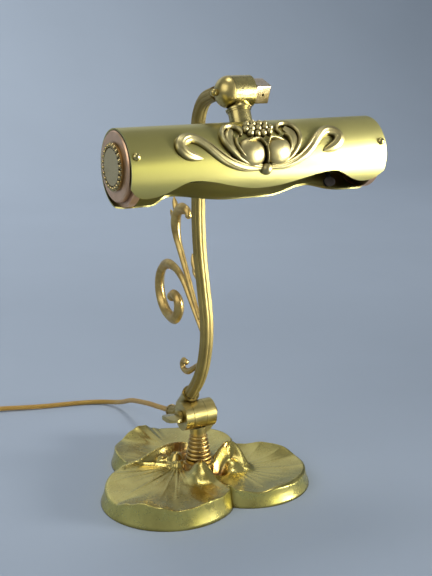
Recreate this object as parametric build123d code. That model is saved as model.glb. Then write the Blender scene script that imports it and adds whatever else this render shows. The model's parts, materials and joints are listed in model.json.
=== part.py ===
from build123d import *
import os
from math import atan2, cos, degrees, dist, exp, hypot, pi, radians, sin, sqrt, tan

# Desk lamp: a tubular shade on a scrolled, reeded arm that tilts on a base of three cast
# water-lily leaves. Millimetres, Z up. X runs along the shade, -Y is the front, and the
# origin is on the floor under the ringed stem.

# Driving dimensions: shade
SHADE_LENGTH = 240.0
SHADE_R = 31.8
SHEET = 1.2
SHADE_TILT = 22.8
NECK_REACH = 59.5
COLLAR_R = 9.6
COLLAR_LIP_R = 10.4
COLLAR_RISE = 11.6
LIP = 1.4
NECK_R = 8.4
NECK_FLARE_R = 11.2
NIPPLE_R = 5.0
NIPPLE_BORE_R = 3.4
NIPPLE_GRIP = 3.2
LOCKNUT_R = 8.5
LOCKNUT = 3.4
MOUTH_NOTCH_X = 66.0
MOUTH_LOBE_X = 104.0

# Driving dimensions: shade ends and ornament
CAP_DEPTH = 10.0
CAP_RECESS = 3.5
CAP_PROUD = 1.0
CAP_FACE_R = 28.3
CAP_EDGE = 1.0
CAP_LIFT = 1.8
CAP_SHEET = 1.4
MEDALLION_R = 19.4
MEDALLION_RIM = 2.0
MEDALLION_FACE = 2.8
MEDALLION_BORDER = 4.6
BEAD_COUNT = 24
BEAD_R = 1.9
SCREW_INSET = 5.0
SCREW_HEAD_R = 3.3
SCREW_R = 1.5
SCREW_GRIP = 3.6
RELIEF = 3.4
ORNAMENT_X = -2.5

# Driving dimensions: knuckles and clamps
KNUCKLE_R = 13.8
PIVOT_R = 3.0
UPPER_SPLIT_X = -6.6
UPPER_BARREL = 19.8
DOME_DEPTH = 12.0
UPPER_BOSS_R = 8.5
UPPER_BOSS = 2.0
BASE_PIVOT_RISE = 19.0
BASE_SPLIT_X = 3.1
BASE_BARREL = 10.5
ARM_BARREL = 22.0
GROOVE_X = -11.0
GROOVE = 0.8
PEG_R = 4.0
PEG = 7.0
WEB = 13.0
CAP_NUT_R = 7.0
THREAD_GRIP = 4.0
PADDLE_LENGTH = 28.0
PADDLE_WIDTH = 13.0
PADDLE_EDGE = 2.4
PADDLE_RIDGE = 5.4
SCREW_COLLAR_R = 6.2
SCREW_COLLAR = 4.0
SCREW_TURN = -8.0
NUT_SIDE = 17.0
NUT_LENGTH = 14.0
NUT_CORNER = 1.6
NUT_TURN = 42.8
NUT_PIN_R = 1.1

# Driving dimensions: arm
ARM_R = 6.4
ARM_VALLEY_R = 5.7
ARM_BORE_R = 4.0
ARM_REEDS = 9
ARM_REACH = 71.54
ARM_HEIGHT = 315.65
ARM_X_LOW = -5.26
ARM_X_HIGH = -13.4
SLEEVE_R = 7.6
SLEEVE_LIP_R = 8.6
SLEEVE_LIP = 3.0
SLEEVE_START = 17.0
SLEEVE_LENGTH = 27.0
BUSH_LIP_R = 6.6
BUSH_LIP = 2.5
BUSH_NECK = 8.0
BUSH_PLAY = 0.1

# Driving dimensions: base and stem
LEAF_FLARE = 4.0
LEAF_BLOCK = 46.0
LEAF_GRID = 32
FELT = 2.0
FELT_INSET = 9.5
POCKET_INSET = 14.0
POCKET_TOP = 7.0
BOSS_R = 17.0
NUT_POCKET_R = 13.0
NUT_POCKET_TOP = 12.0
WASHER_R = 11.0
WASHER = 1.7
NUT_R = 8.4
NUT = 5.8
STEM_Z = 22.0
STEM_TOP = 53.0
STEM_R = 8.0
STEM_FLANGE_R = 13.2
STEM_FLANGE = 3.0
STEM_RINGS = 6
STEM_RING_TOP_R = 9.2
STEM_RING_FOOT_R = 12.8
ROD_R = 5.0

# Driving dimensions: lamp holder and bulb
HOLDER_INSET = 8.0
HOLDER_CAP = 14.0
HOLDER_STUB_R = 6.0
HOLDER_R = 16.4
HOLDER_BORE_R = 13.3
HOLDER_LENGTH = 38.0
HOLDER_LIP = 0.9
INSULATOR = 7.0
BULB_CAP_R = 13.0
BULB_CAP_SHEET = 1.0
BULB_CAP_LENGTH = 20.0
BULB_CONTACT_R = 6.0
BULB_CONTACT = 5.0
BULB_THREADS = 4
BULB_R = 15.5
BULB_NECK_R = 11.5
BULB_LENGTH = 138.0
GLASS = 1.0
KEY_INSET = 16.0
KEY_STEM_R = 2.2
KEY_REACH = 24.5
KEY_LENGTH = 11.0
KEY_WIDTH = 8.0
KEY_THICK = 2.4

# Driving dimensions: cord
CORD_R = 2.75
COIL_LIFT = 1.4
COIL_PITCH = 6.0
COIL_OUTER = 40.5
COIL_IN_HALF_TURNS = 7
COIL_OUT_HALF_TURNS = 6
COIL_SWING_R = 30.0
COIL_SWING = -42.0
COIL_TAIL = 10.0
TIE = 1.0
TIE_WIDTH = 8.0
TIE_ROOM = 0.5
PLUG_LENGTH = 34.0
PLUG_NECK = 9.0
PLUG_SHOULDER = 19.0
PLUG_FACE = 25.0
BLADE_LENGTH = 17.0
BLADE_WIDTH = 6.3
BLADE = 1.5
BLADE_PITCH = 12.7

# Clearances
SLIDE = 0.05
RUNNING = 0.08
FACE_GAP = 0.3
SEAT = 0.02

# Mouth of the shade, front and back edge: half widths at the middle, the notches, the lobes and the ends
MOUTH_FRONT = (14.9, 24.3, 13.0, 23.0)
MOUTH_BACK = (6.0, 24.3, 5.0, 16.0)

# Floral mount: strokes of the right half as (start, lean, runs and arcs, width),
# and domes as (x, z, half width, rise, half height)
BUD_PLATE = (24.0, 13.0)
ORNAMENT_STROKES = [((9, -14), 20, [(34, 80), (7, 150)], 5.0),
                    ((3, -15.5), 0, [(60, 35), (45, 15), (15, 0), (11.5, -195)], 6.0)]
ORNAMENT_DOMES = [(-12.5, 0, 13.5, 8.0, 13), (12.5, 0, 13.5, 8.0, 13), (0, -16.5, 4.4, 6.5, 4.4)]
ORNAMENT_DOMES += [(6.0 * i, 17 - abs(i), 4.0, 6.0, 4.0) for i in (-2, -1, 0, 1, 2)]
ORNAMENT_DOMES += [(6.0 * i, 22, 3.6, 5.0, 3.6) for i in (-1.5, -0.5, 0.5, 1.5)]

# Leaves: bearing from the stem, distance of the centre, radius on the floor, height of the dish
LEAVES = {"front": (207.5, 49.6, 65.5, 14.5), "right": (332.4, 48.5, 62.0, 11.5),
          "back": (91.0, 54.0, 66.0, 12.5)}

# Heights of the wavy rims: (bearing about the leaf's centre from its outermost point, height)
LEAF_RIMS = {
    "front": [(-120, 15), (-75, 17), (-40, 15), (-18, 14), (-2, 20), (15, 25), (30, 22), (45, 18), (58, 19),
              (73, 21.5), (95, 19.5), (140, 21)],
    "right": [(-140, 22), (-112, 22), (-99, 17), (-80, 14.5), (-60, 18), (-32, 17), (0, 16), (27, 15),
              (50, 19), (72, 18.5), (90, 15), (130, 19)],
    "back": [(-130, 20), (-95, 19), (-60, 17), (-23, 12.5), (-12, 12.5), (-3, 15), (5, 20), (13, 21),
             (22, 18.5), (39, 14), (77, 19), (100, 17), (114, 21), (130, 24)],
}

# Raised lobes round the stem: (outward and sideways from the leaf's centre, rise, spread)
LEAF_LOBES = {
    "front": [(-36.0, 19.5, 11.0, 9.5), (-40.0, -17.0, 11.0, 5.0)],
    "right": [(-18.6, 14.0, 21.0, 6.5), (-26.0, -12.0, 9.0, 7.0)],
    "back": [(-30.0, 15.5, 15.0, 7.5), (-30.0, -15.5, 15.0, 7.5), (-22.0, 31.0, 8.0, 8.0)],
}

# Arm centreline in its own plane, from the cord outlet to the top knuckle: back and up from the lower pivot
ARM_POINTS = [(49.0, -13.5), (35.5, -10.5), (-21.0, 46.0), (-35.5, 96.0), (-21.0, 180.0),
              (-27.5, ARM_HEIGHT - 10.15), (9.54 - ARM_REACH, ARM_HEIGHT - 1.15)]
ARM_RADII = [14.0, 100.0, 95.0, 250.0, 33.0]

# Scrolls in the arm's plane: start, heading, runs (length, 0) and arcs (radius, turn),
# radii where those begin and end, radius of the bud
LARGE_SCROLL = ((-26.0, 88.0), 50, [(52.0, 0), (44.0, -50), (27.3, -180), (16.5, -90), (8.8, -140)],
                (1.8, 2.4, 3.3, 4.3, 4.3, 3.8), 4.6)
UPPER_SCROLL = ((-19.0, 103.0), 58.5, [(76.0, 0), (35.0, 31.5), (18.0, 90), (4.0, 0), (6.5, 75)],
                (1.8, 3.1, 3.6, 3.4, 3.0, 2.2), 2.6)
SMALL_SCROLL = ((-16.0, 57.0), -32, [(24.0, 0), (22.0, 32), (5.2, 215)], (1.8, 2.3, 2.5, 2.3), 3.0)

# Cord route from the outlet to the coil
CORD_EXIT_RUN = 30.0
CORD_ROUTE = [(-3.5, 108.0, 45.7), (-1.5, 140.0, 37.0), (2.0, 175.0, 26.5), (5.0, 205.0, 13.0),
              (3.0, 228.0, 5.5), (-10.0, 245.0, 2.75), (-34.0, 253.0, 2.75), (-80.0, 262.5, 2.75),
              (-128.0, 277.5, 4.15), (-182.0, 288.0, 4.15)]

parts = {}


def ring(outer, inner, length):
    """A tube along Z standing on its lower face."""
    foot = (Align.CENTER, Align.CENTER, Align.MIN)
    return Cylinder(outer, length, align=foot) - Cylinder(inner, length, align=foot)


def rod(radius, low, high):
    """A round bar along Z."""
    return Pos(0, 0, low) * Cylinder(radius, high - low, align=(Align.CENTER, Align.CENTER, Align.MIN))


def along_x(shape):
    """Turn a shape that stands along Z so that it lies along X."""
    return Rot(0, 90, 0) * shape


def turned(points):
    """A solid turned about Z from an outline of (radius, height)."""
    outline = make_face(Polyline(*[(r, 0, z) for r, z in points], close=True))
    return revolve(outline, Axis.Z)


base_pivot_z = STEM_TOP + BASE_PIVOT_RISE
base_place = Pos(0, 0, base_pivot_z)
upper_place = Pos(0, -ARM_REACH, base_pivot_z + ARM_HEIGHT) * Rot(-SHADE_TILT, 0, 0)
shade_place = upper_place * Pos(0, 0, -NECK_REACH)
shade_end = SHADE_LENGTH / 2
neck_base = SHADE_R + COLLAR_RISE

arm_slope = (ARM_X_HIGH - ARM_X_LOW) / ARM_HEIGHT
arm_plane = Plane(origin=(ARM_X_LOW, 0, base_pivot_z), x_dir=(0, 1, 0), z_dir=(1, 0, -arm_slope))


# Base

def rim_height(name, bearing):
    """Height of a leaf's rim, eased between the listed heights and round past the stem."""
    stations = LEAF_RIMS[name]
    first, last = stations[0], stations[-1]
    ends = [(last[0] - 360, last[1]), *stations, (first[0] + 360, first[1])]
    for (low, low_z), (high, high_z) in zip(ends, ends[1:]):
        if low <= bearing <= high:
            share = (bearing - low) / (high - low)
            return low_z + (high_z - low_z) * share * share * (3 - 2 * share)


def leaf_top(name, u, v):
    """Height of a leaf: u points away from the stem and v sideways."""
    _, _, radius, dish = LEAVES[name]
    reach = min(hypot(u, v) / (radius - LEAF_FLARE), 1.1)
    height = dish + (rim_height(name, degrees(atan2(v, u))) - dish) * reach ** 3
    for lobe_u, lobe_v, rise, spread in LEAF_LOBES[name]:
        height += rise * exp(-(hypot(u - lobe_u, v - lobe_v) / spread) ** 2 / 2)
    return height


def leaf(name):
    """One cast leaf with a flared wall, a dished top with a wavy rim and raised lobes by the stem."""
    bearing, distance, radius, _ = LEAVES[name]
    half = radius + LEAF_FLARE
    steps = [half * (2 * i / LEAF_GRID - 1) for i in range(LEAF_GRID + 1)]
    grid = [[Vector(u, v, leaf_top(name, u, v)) for v in steps] for u in steps]
    top = Face.make_surface_from_array_of_points(grid, tol=0.05)
    block = extrude(top, amount=LEAF_BLOCK * 2, dir=(0, 0, -1))
    wall = Cone(radius, radius - LEAF_FLARE * 2, LEAF_BLOCK, align=(Align.CENTER, Align.CENTER, Align.MIN))
    return Rot(0, 0, bearing) * Pos(distance, 0, 0) * (wall & block)


def wedge(start, stop, reach):
    """A sector of the floor round the stem, as a tall block."""
    turns = [start + (stop - start) * i / 3 for i in range(4)]
    corners = [(reach * cos(radians(a)), reach * sin(radians(a))) for a in turns]
    return extrude(make_face(Polyline((0, 0), *corners, close=True)), LEAF_BLOCK)


def leaf_disc(inset, low, high):
    """The three leaves' outlines drawn in by an inset, as one flat plate."""
    plate = None
    for bearing, distance, radius, _ in LEAVES.values():
        disc = Rot(0, 0, bearing) * Pos(distance, 0, 0) * rod(radius - inset, low, high)
        plate = disc if plate is None else plate + disc
    return plate


def base_casting():
    """Three leaves joined round a boss, hollow below, with a seat for the stem rod."""
    names = list(LEAVES)
    bearings = [LEAVES[name][0] for name in names]
    casting = rod(BOSS_R, 0, STEM_Z)
    for i, name in enumerate(names):
        before = (bearings[i] + bearings[i - 1]) / 2 - (180 if bearings[i - 1] > bearings[i] else 0)
        after_bearing = bearings[(i + 1) % 3]
        after = (bearings[i] + after_bearing) / 2 + (180 if after_bearing < bearings[i] else 0)
        casting += leaf(name) & wedge(before, after, 3 * LEAF_BLOCK + BOSS_R)
    casting -= leaf_disc(FELT_INSET, 0, FELT + SEAT)
    casting -= leaf_disc(POCKET_INSET, 0, POCKET_TOP) - rod(BOSS_R + 1, 0, POCKET_TOP)
    casting -= rod(NUT_POCKET_R, 0, NUT_POCKET_TOP)
    casting -= rod(ROD_R + SLIDE, 0, STEM_Z + 1)
    casting -= rod(STEM_FLANGE_R + FACE_GAP, STEM_Z, LEAF_BLOCK)
    return casting


def stem():
    """The turned post: rings that grow towards the foot, bored for the rod and the knuckle."""
    pitch = (STEM_TOP - STEM_Z - 2 * STEM_FLANGE) / STEM_RINGS
    peg_z = STEM_TOP - PEG - 1
    thick = pitch * 0.42
    post = rod(STEM_R, STEM_Z + SEAT, STEM_TOP) + rod(STEM_FLANGE_R, STEM_Z + SEAT, STEM_Z + STEM_FLANGE)
    core = [(0, STEM_Z + STEM_FLANGE), (STEM_RING_FOOT_R - thick, STEM_Z + STEM_FLANGE),
            (STEM_RING_TOP_R - thick, STEM_TOP), (0, STEM_TOP)]
    post += turned(core)
    for i in range(STEM_RINGS):
        z = STEM_Z + STEM_FLANGE + pitch * (i + 0.5)
        outer = STEM_RING_FOOT_R + (STEM_RING_TOP_R - STEM_RING_FOOT_R) * i / (STEM_RINGS - 1)
        post += Pos(0, 0, z) * Torus(outer - thick, thick)
    post -= rod(ROD_R + SLIDE, STEM_Z, peg_z)
    return post - rod(PEG_R + SLIDE, peg_z, STEM_TOP)


def stem_nut():
    """The hexagon nut under the casting."""
    nut = extrude(RegularPolygon(NUT_R, 6), NUT) - rod(ROD_R + SLIDE, 0, NUT)
    return Pos(0, 0, washer_z - SLIDE - NUT) * nut


def base_knuckle():
    """The fixed half of the lower knuckle, on a foot that sits on the stem."""
    low = BASE_SPLIT_X + FACE_GAP / 2
    high = low + BASE_BARREL
    barrel = base_place * along_x(rod(KNUCKLE_R, low, high))
    foot = rod(STEM_R + 0.6, STEM_TOP + SEAT, STEM_TOP + PEG)
    web_outline = Polyline((-PEG_R, STEM_TOP + 1), (STEM_R, STEM_TOP + 1),
                           (high, base_pivot_z - KNUCKLE_R + 1.5), (high, base_pivot_z),
                           (-PEG_R, base_pivot_z), close=True)
    web = extrude(Plane.XZ * make_face(web_outline), WEB / 2, both=True)
    swept = base_place * along_x(rod(KNUCKLE_R + 1.0, -ARM_BARREL, low))
    knuckle = barrel + (foot + web - swept) + rod(PEG_R, STEM_TOP - PEG, STEM_TOP + 1)
    return knuckle - base_place * along_x(rod(PIVOT_R + RUNNING, low - 1, high + 1))


def base_cap_nut():
    """The blind domed nut at the right of the lower knuckle."""
    face = BASE_SPLIT_X + FACE_GAP / 2 + BASE_BARREL + SEAT
    dome = scale(Sphere(CAP_NUT_R), by=(1, 1, 0.8)) & rod(CAP_NUT_R + 1, 0, CAP_NUT_R + 1)
    nut = rod(CAP_NUT_R, 0, 1.5) + Pos(0, 0, 1.0) * dome
    return base_place * Pos(face, 0, 0) * along_x(nut - rod(PIVOT_R + RUNNING, -1, THREAD_GRIP + 0.5))


def clamp_paddle():
    """A flat grip with round ends whose axis is Z: long across, ridged along the axis."""
    half = PADDLE_LENGTH / 2
    edge = PADDLE_EDGE / 2
    ridge = PADDLE_RIDGE / 2
    outline = Polyline((-half, -edge), (0, -ridge), (half, -edge), (half, edge), (0, ridge), (-half, edge),
                       close=True)
    plan = extrude(Plane.XZ * SlotOverall(PADDLE_LENGTH, PADDLE_WIDTH), PADDLE_RIDGE, both=True)
    return extrude(make_face(outline), PADDLE_WIDTH) & Pos(0, 0, PADDLE_WIDTH / 2) * plan


def base_clamp_screw():
    """The thumb screw that pinches the lower knuckle: flat grip, collar and long shank."""
    face = BASE_SPLIT_X - FACE_GAP / 2 - ARM_BARREL - FACE_GAP
    collar = along_x(rod(SCREW_COLLAR_R, face - SCREW_COLLAR, face))
    grip = along_x(Rot(0, 0, 90) * clamp_paddle())
    grip = Pos(face - SCREW_COLLAR + 1 - PADDLE_WIDTH, 0, 0) * Rot(SCREW_TURN, 0, 0) * grip
    shank = along_x(rod(PIVOT_R, face - SCREW_COLLAR - 1, BASE_SPLIT_X + BASE_BARREL + THREAD_GRIP))
    return base_place * (collar + grip + shank)


washer_z = NUT_POCKET_TOP - SLIDE - WASHER

parts["base_casting"] = base_casting()
parts["base_felt"] = leaf_disc(FELT_INSET + FACE_GAP, 0, FELT)
parts["stem_washer"] = Pos(0, 0, washer_z) * ring(WASHER_R, ROD_R + SLIDE, WASHER)
parts["stem_nut"] = stem_nut()
parts["stem_rod"] = rod(ROD_R, washer_z - NUT - SLIDE, STEM_TOP - PEG - 2)
parts["stem_post"] = stem()
parts["base_knuckle"] = base_knuckle()
parts["base_cap_nut"] = base_cap_nut()
parts["base_clamp_screw"] = base_clamp_screw()


# Arm

def arm_curve():
    return FilletPolyline(*[(u, v) for u, v in ARM_POINTS], radius=ARM_RADII)


def swept_on_arm(curve, section):
    """Sweep a flat section along a curve drawn in the arm's plane."""
    path = arm_plane * curve
    start = Plane(origin=path @ 0, z_dir=path % 0)
    return sweep(start * section, path=path)


def reeded_section():
    """Round reeds side by side about the bore."""
    step = 360 / ARM_REEDS

    def at(radius, turn):
        return radius * cos(radians(turn)), radius * sin(radians(turn))

    reeds = [ThreePointArc(at(ARM_VALLEY_R, step * i), at(ARM_R, step * (i + 0.5)),
                           at(ARM_VALLEY_R, step * (i + 1))) for i in range(ARM_REEDS)]
    return make_face(reeds) - Circle(ARM_BORE_R)


def trail(start, heading, moves):
    """Straight runs (length, 0) and tangent arcs (radius, turn), one after another."""
    point = Vector(*start)
    bearing = heading
    pieces = []
    for size, turn in moves:
        aim = (cos(radians(bearing)), sin(radians(bearing)))
        if turn:
            piece = JernArc(start=point, tangent=aim, radius=size, arc_size=turn)
        else:
            piece = Line(point, point + Vector(*aim) * size)
        bearing += turn
        point = piece @ 1
        pieces.append(piece)
    return Curve(pieces), point


def scroll(start, heading, moves, radii, bud, grow=0.0):
    """A cast scroll that springs thin from the arm, swells along its runs and ends in a round bud."""
    curve, end = trail(start, heading, moves)
    body = arm_plane * Pos(end.X, end.Y, 0) * Sphere(bud + grow)
    for edge, low, high in zip(curve.edges(), radii, radii[1:]):
        path = arm_plane * edge
        ends = ((0, low + grow), (1, high + grow))
        sections = [Plane(origin=path @ t, z_dir=path % t) * Circle(radius) for t, radius in ends]
        body += sweep(sections, path=path, multisection=True)
    return body - arm_envelope


def arm_foot():
    """The moving half of the lower knuckle, with a sleeve round the arm's lower end."""
    high = BASE_SPLIT_X - FACE_GAP / 2
    barrel = base_place * along_x(rod(KNUCKLE_R, high - ARM_BARREL, high))
    start = Vector(*ARM_POINTS[1])
    aim = (Vector(*ARM_POINTS[2]) - start).normalized()
    end = start + aim * (SLEEVE_START + SLEEVE_LENGTH)
    sleeve = swept_on_arm(Line(start + aim * SLEEVE_START, end), Circle(SLEEVE_R))
    foot = barrel + sleeve + swept_on_arm(Line(end - aim * SLEEVE_LIP, end), Circle(SLEEVE_LIP_R))
    foot -= base_place * along_x(rod(PIVOT_R + RUNNING, high - ARM_BARREL - 1, high + 1))
    groove = Pos(0, 0, GROOVE_X) * ring(KNUCKLE_R + GROOVE, KNUCKLE_R - GROOVE / 2, GROOVE)
    return foot - arm_envelope - (base_place * along_x(groove) - sleeve)


def arm_dome():
    """The half-round cheek of the upper knuckle, bored for the bolt and the arm's end."""
    face = UPPER_SPLIT_X - FACE_GAP / 2
    half = along_x(rod(KNUCKLE_R + 1, face - KNUCKLE_R - 1, face))
    dome = Pos(face, 0, 0) * scale(Sphere(KNUCKLE_R), by=(DOME_DEPTH / KNUCKLE_R, 1, 1)) & half
    bore = along_x(rod(PIVOT_R + SLIDE, face - KNUCKLE_R - 1, face + 1))
    return upper_place * (dome - bore) - arm_envelope


def upper_bolt():
    """The pivot bolt of the upper knuckle with its ball head at the left."""
    face = UPPER_SPLIT_X - FACE_GAP / 2
    end = UPPER_SPLIT_X + UPPER_BARREL + UPPER_BOSS + NUT_LENGTH - 3
    ball = Pos(face - DOME_DEPTH - 1.8, 0, 0) * Sphere(PIVOT_R + 0.3)
    return upper_place * (ball + along_x(rod(PIVOT_R, face - DOME_DEPTH - 1.0, end)))


def cord_bushing():
    """The lipped bush in the arm's open lower end."""
    bore = CORD_R + BUSH_PLAY
    neck = Pos(0, 0, -BUSH_NECK) * ring(ARM_BORE_R - SLIDE, bore, BUSH_NECK)
    return Location(outlet_plane) * (ring(BUSH_LIP_R, bore, BUSH_LIP) + neck)


arm_path = arm_curve()
arm_envelope = swept_on_arm(arm_path, Circle(ARM_R + SLIDE))
arm_whole = arm_plane * arm_path
outlet_plane = Plane(origin=(arm_whole @ 0) - (arm_whole % 0) * SEAT, z_dir=(arm_whole % 0) * -1)

parts["arm_tube"] = swept_on_arm(arm_path, reeded_section())
parts["arm_foot"] = arm_foot()
parts["arm_dome"] = arm_dome()
parts["upper_bolt"] = upper_bolt()
parts["cord_bushing"] = cord_bushing()
parts["scroll_large"] = scroll(*LARGE_SCROLL)
parts["scroll_upper"] = scroll(*UPPER_SCROLL) - scroll(*LARGE_SCROLL, grow=SEAT)
parts["scroll_small"] = scroll(*SMALL_SCROLL)


# Shade

def along_shade(shape):
    return shade_place * shape


def mouth_edge():
    """Plan of the shade's open underside: both edges are cut into three hanging lobes."""
    edges = []
    for sign, (crown, notch, lobe, end) in ((-1, MOUTH_FRONT), (1, MOUTH_BACK)):
        half = [(MOUTH_NOTCH_X, notch, 0), (MOUTH_LOBE_X, lobe, 0), (shade_end + 1, end, 1)]
        left = [(-x, w, -slope) for x, w, slope in reversed(half)]
        stations = left + [(0, crown, 0)] + half
        edges.append(Spline(*[(x, sign * w) for x, w, _ in stations],
                            tangents=[(1, sign * slope) for _, _, slope in stations]))
    front, back = edges
    return make_face([front, back, Line(front @ 0, back @ 0), Line(front @ 1, back @ 1)])


def screw_places():
    """The four cap screws, front and back at both ends: outward along Z of each place."""
    x = shade_end - SCREW_INSET
    return [Pos(side * x, 0, 0) * Rot(turn, 0, 0) for side in (-1, 1) for turn in (90, -90)]


def screw_holes():
    return [place * rod(SCREW_R + SLIDE, SHADE_R - 2 * SCREW_GRIP, SHADE_R + 2) for place in screw_places()]


def on_shade(outer, inner):
    """A tube about the shade's axis, as long as the shade."""
    return along_x(Pos(0, 0, -shade_end) * ring(outer, inner, SHADE_LENGTH))


def shade_shell():
    """The rolled sheet, open below, pierced for the neck and the cap screws."""
    shell = on_shade(SHADE_R, SHADE_R - SHEET)
    shell -= Pos(0, 0, -SHADE_R - 2) * extrude(mouth_edge(), SHADE_R)
    shell -= rod(NIPPLE_R + SLIDE, 0, SHADE_R + 2)
    return along_shade(shell - screw_holes())


def end_cap(side):
    """A pressed cap: a rim that slides into the tube and a raised round face set a little high."""
    rim = SHADE_R - SHEET - SLIDE
    floor = -CAP_RECESS - CAP_SHEET
    skirt = rod(rim, -CAP_DEPTH, -CAP_RECESS) - rod(rim - CAP_SHEET, -CAP_DEPTH, floor)
    face = turned([(0, CAP_PROUD), (CAP_FACE_R - CAP_EDGE, CAP_PROUD), (CAP_FACE_R, CAP_PROUD - CAP_EDGE),
                   (CAP_FACE_R, floor), (0, floor)])
    hollow = rod(CAP_FACE_R - CAP_SHEET, floor - 1, CAP_PROUD - CAP_SHEET)
    turn = Rot(0, 90 * side, 0)
    centre = Pos(side * shade_end, 0, 0) * turn
    raised = Pos(side * shade_end, 0, CAP_LIFT) * turn
    cap = centre * skirt + raised * face - raised * hollow
    return along_shade(cap - screw_holes())


def medallion(side):
    """The raised disc on a cap with a ring of beads and a plain centre."""
    disc = rod(MEDALLION_R, 0, MEDALLION_RIM) + rod(MEDALLION_R - MEDALLION_BORDER, 0, MEDALLION_FACE)
    for i in range(BEAD_COUNT):
        turn = Rot(0, 0, 360 / BEAD_COUNT * i)
        disc += turn * Pos(MEDALLION_R - MEDALLION_BORDER / 2, 0, MEDALLION_RIM) * Sphere(BEAD_R)
    face = shade_end + CAP_PROUD + SEAT
    return along_shade(Pos(side * face, 0, CAP_LIFT) * Rot(0, 90 * side, 0) * disc)


def cap_screws():
    """Four round-headed screws that hold the caps."""
    dome = Sphere(SCREW_HEAD_R) & rod(SCREW_HEAD_R + 1, 0, SCREW_HEAD_R + 1)
    head = dome + rod(SCREW_R, -SCREW_GRIP, 1)
    return Compound([along_shade(place * Pos(0, 0, SHADE_R + SEAT) * head) for place in screw_places()])


def ornament():
    """The cast floral mount on the front of the shade: a two-lobed bud between leafy scrolls."""
    strokes = Ellipse(*BUD_PLATE)
    for side in (-1, 1):
        heading = 0 if side > 0 else 180
        for (x, z), lean, moves, width in ORNAMENT_STROKES:
            turned_moves = [(size, side * turn) for size, turn in moves]
            stroke, tip = trail((side * x, z), heading + side * lean, turned_moves)
            strokes += trace(stroke, line_width=width)
            strokes += Pos(tip.X, tip.Y) * Circle(width * 0.6)
    plate = extrude(Plane.XZ * strokes, SHADE_R + 6)
    body = on_shade(SHADE_R + RELIEF, SHADE_R + SEAT) & plate
    outside = on_shade(SHADE_R + 4 * RELIEF, SHADE_R + SEAT)
    swell = SHADE_R + 1.0
    for x, z, half_x, rise, half_z in ORNAMENT_DOMES:
        boss = scale(Sphere(1), by=(half_x, rise, half_z))
        body += (Pos(x, -sqrt(swell ** 2 - z ** 2), z) * boss) & outside
    return along_shade(Pos(ORNAMENT_X, 0, 0) * body)


def shade_knuckle():
    """The shade's half of the upper knuckle: barrel, boss, flared neck and its ring."""
    low = UPPER_SPLIT_X + FACE_GAP / 2
    high = UPPER_SPLIT_X + UPPER_BARREL
    barrel = along_x(rod(KNUCKLE_R, low, high) + rod(UPPER_BOSS_R, low, high + UPPER_BOSS))
    neck_low = neck_base - NECK_REACH
    neck = turned([(0, neck_low), (NECK_FLARE_R, neck_low), (NECK_FLARE_R, neck_low + LIP),
                   (NECK_R + 0.6, neck_low + 5.5), (NECK_R, -5), (0, -5)])
    swept = along_x(rod(KNUCKLE_R + 1.2, low - UPPER_BARREL, low))
    body = barrel + (neck - swept)
    body -= along_x(rod(PIVOT_R + RUNNING, low - 1, high + UPPER_BOSS + 1))
    body -= rod(NIPPLE_R + SLIDE, neck_low - 1, neck_low + NIPPLE_GRIP + 0.3)
    return upper_place * body


def neck_collar():
    """The plain collar between the neck and the shade, hollowed to sit on the tube."""
    lip_z = neck_base - LIP
    collar = rod(COLLAR_R, SHADE_R - 3, lip_z) + rod(COLLAR_LIP_R, lip_z, neck_base - SEAT)
    collar -= along_x(rod(SHADE_R + SEAT, -2 * COLLAR_R, 2 * COLLAR_R))
    return along_shade(collar - rod(NIPPLE_R + SLIDE, SHADE_R - 4, neck_base + 1))


def neck_locknut():
    """The nut inside the shade, up against the tube's roof."""
    nut = extrude(RegularPolygon(LOCKNUT_R, 6), LOCKNUT) - rod(NIPPLE_R + SLIDE, 0, LOCKNUT)
    return along_shade(Pos(0, 0, locknut_top - LOCKNUT) * nut)


def neck_nipple():
    """The threaded tube that ties the neck, the collar and the shade together."""
    low = locknut_top - LOCKNUT - 2
    return along_shade(Pos(0, 0, low) * ring(NIPPLE_R, NIPPLE_BORE_R, neck_base + NIPPLE_GRIP - low))


def upper_clamp_nut():
    """The square nut at the right of the upper knuckle, with a pin hole in one flat."""
    start = UPPER_SPLIT_X + UPPER_BARREL + UPPER_BOSS + FACE_GAP
    nut = extrude(RectangleRounded(NUT_SIDE, NUT_SIDE, NUT_CORNER), NUT_LENGTH)
    nut = chamfer(nut.faces().sort_by(Axis.Z)[-1].edges(), NUT_CORNER / 2)
    nut -= rod(PIVOT_R + RUNNING, -1, NUT_LENGTH - 2)
    pin = Pos(0, -NUT_SIDE / 2, NUT_LENGTH / 2) * Rot(90, 0, 0) * rod(NUT_PIN_R, -NUT_CORNER, NUT_CORNER)
    return upper_place * Pos(start, 0, 0) * Rot(NUT_TURN, 0, 0) * along_x(nut - pin)


# Lamp holder, bulb and switch, inside the shade

def holder_cap():
    """The holder's back cap, screwed to the inside of the right end cap."""
    back = shade_end + CAP_PROUD - CAP_SHEET - SEAT
    shoulder = HOLDER_R - 1.6
    profile = [(0, holder_back), (shoulder, holder_back), (shoulder, holder_back + HOLDER_CAP * 0.4),
               (HOLDER_R * 0.7, holder_back + HOLDER_CAP), (HOLDER_STUB_R, holder_back + HOLDER_CAP),
               (HOLDER_STUB_R, back), (0, back)]
    return along_shade(along_x(turned(profile)))


def holder_shell():
    """The brass sleeve round the bulb's cap, with a rolled mouth and the hole for the key."""
    shell = ring(HOLDER_R, HOLDER_BORE_R, HOLDER_LENGTH - SEAT)
    shell += ring(HOLDER_R + HOLDER_LIP, HOLDER_BORE_R, 2.5)
    body = along_x(Pos(0, 0, holder_mouth) * shell)
    return along_shade(body - Pos(key_x, 0, 0) * rod(KEY_STEM_R + RUNNING, -HOLDER_R - 2, 0))


def holder_insulator():
    disc = rod(HOLDER_BORE_R - SLIDE, holder_back - INSULATOR, holder_back - 2 * SEAT)
    return along_shade(along_x(disc))


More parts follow.
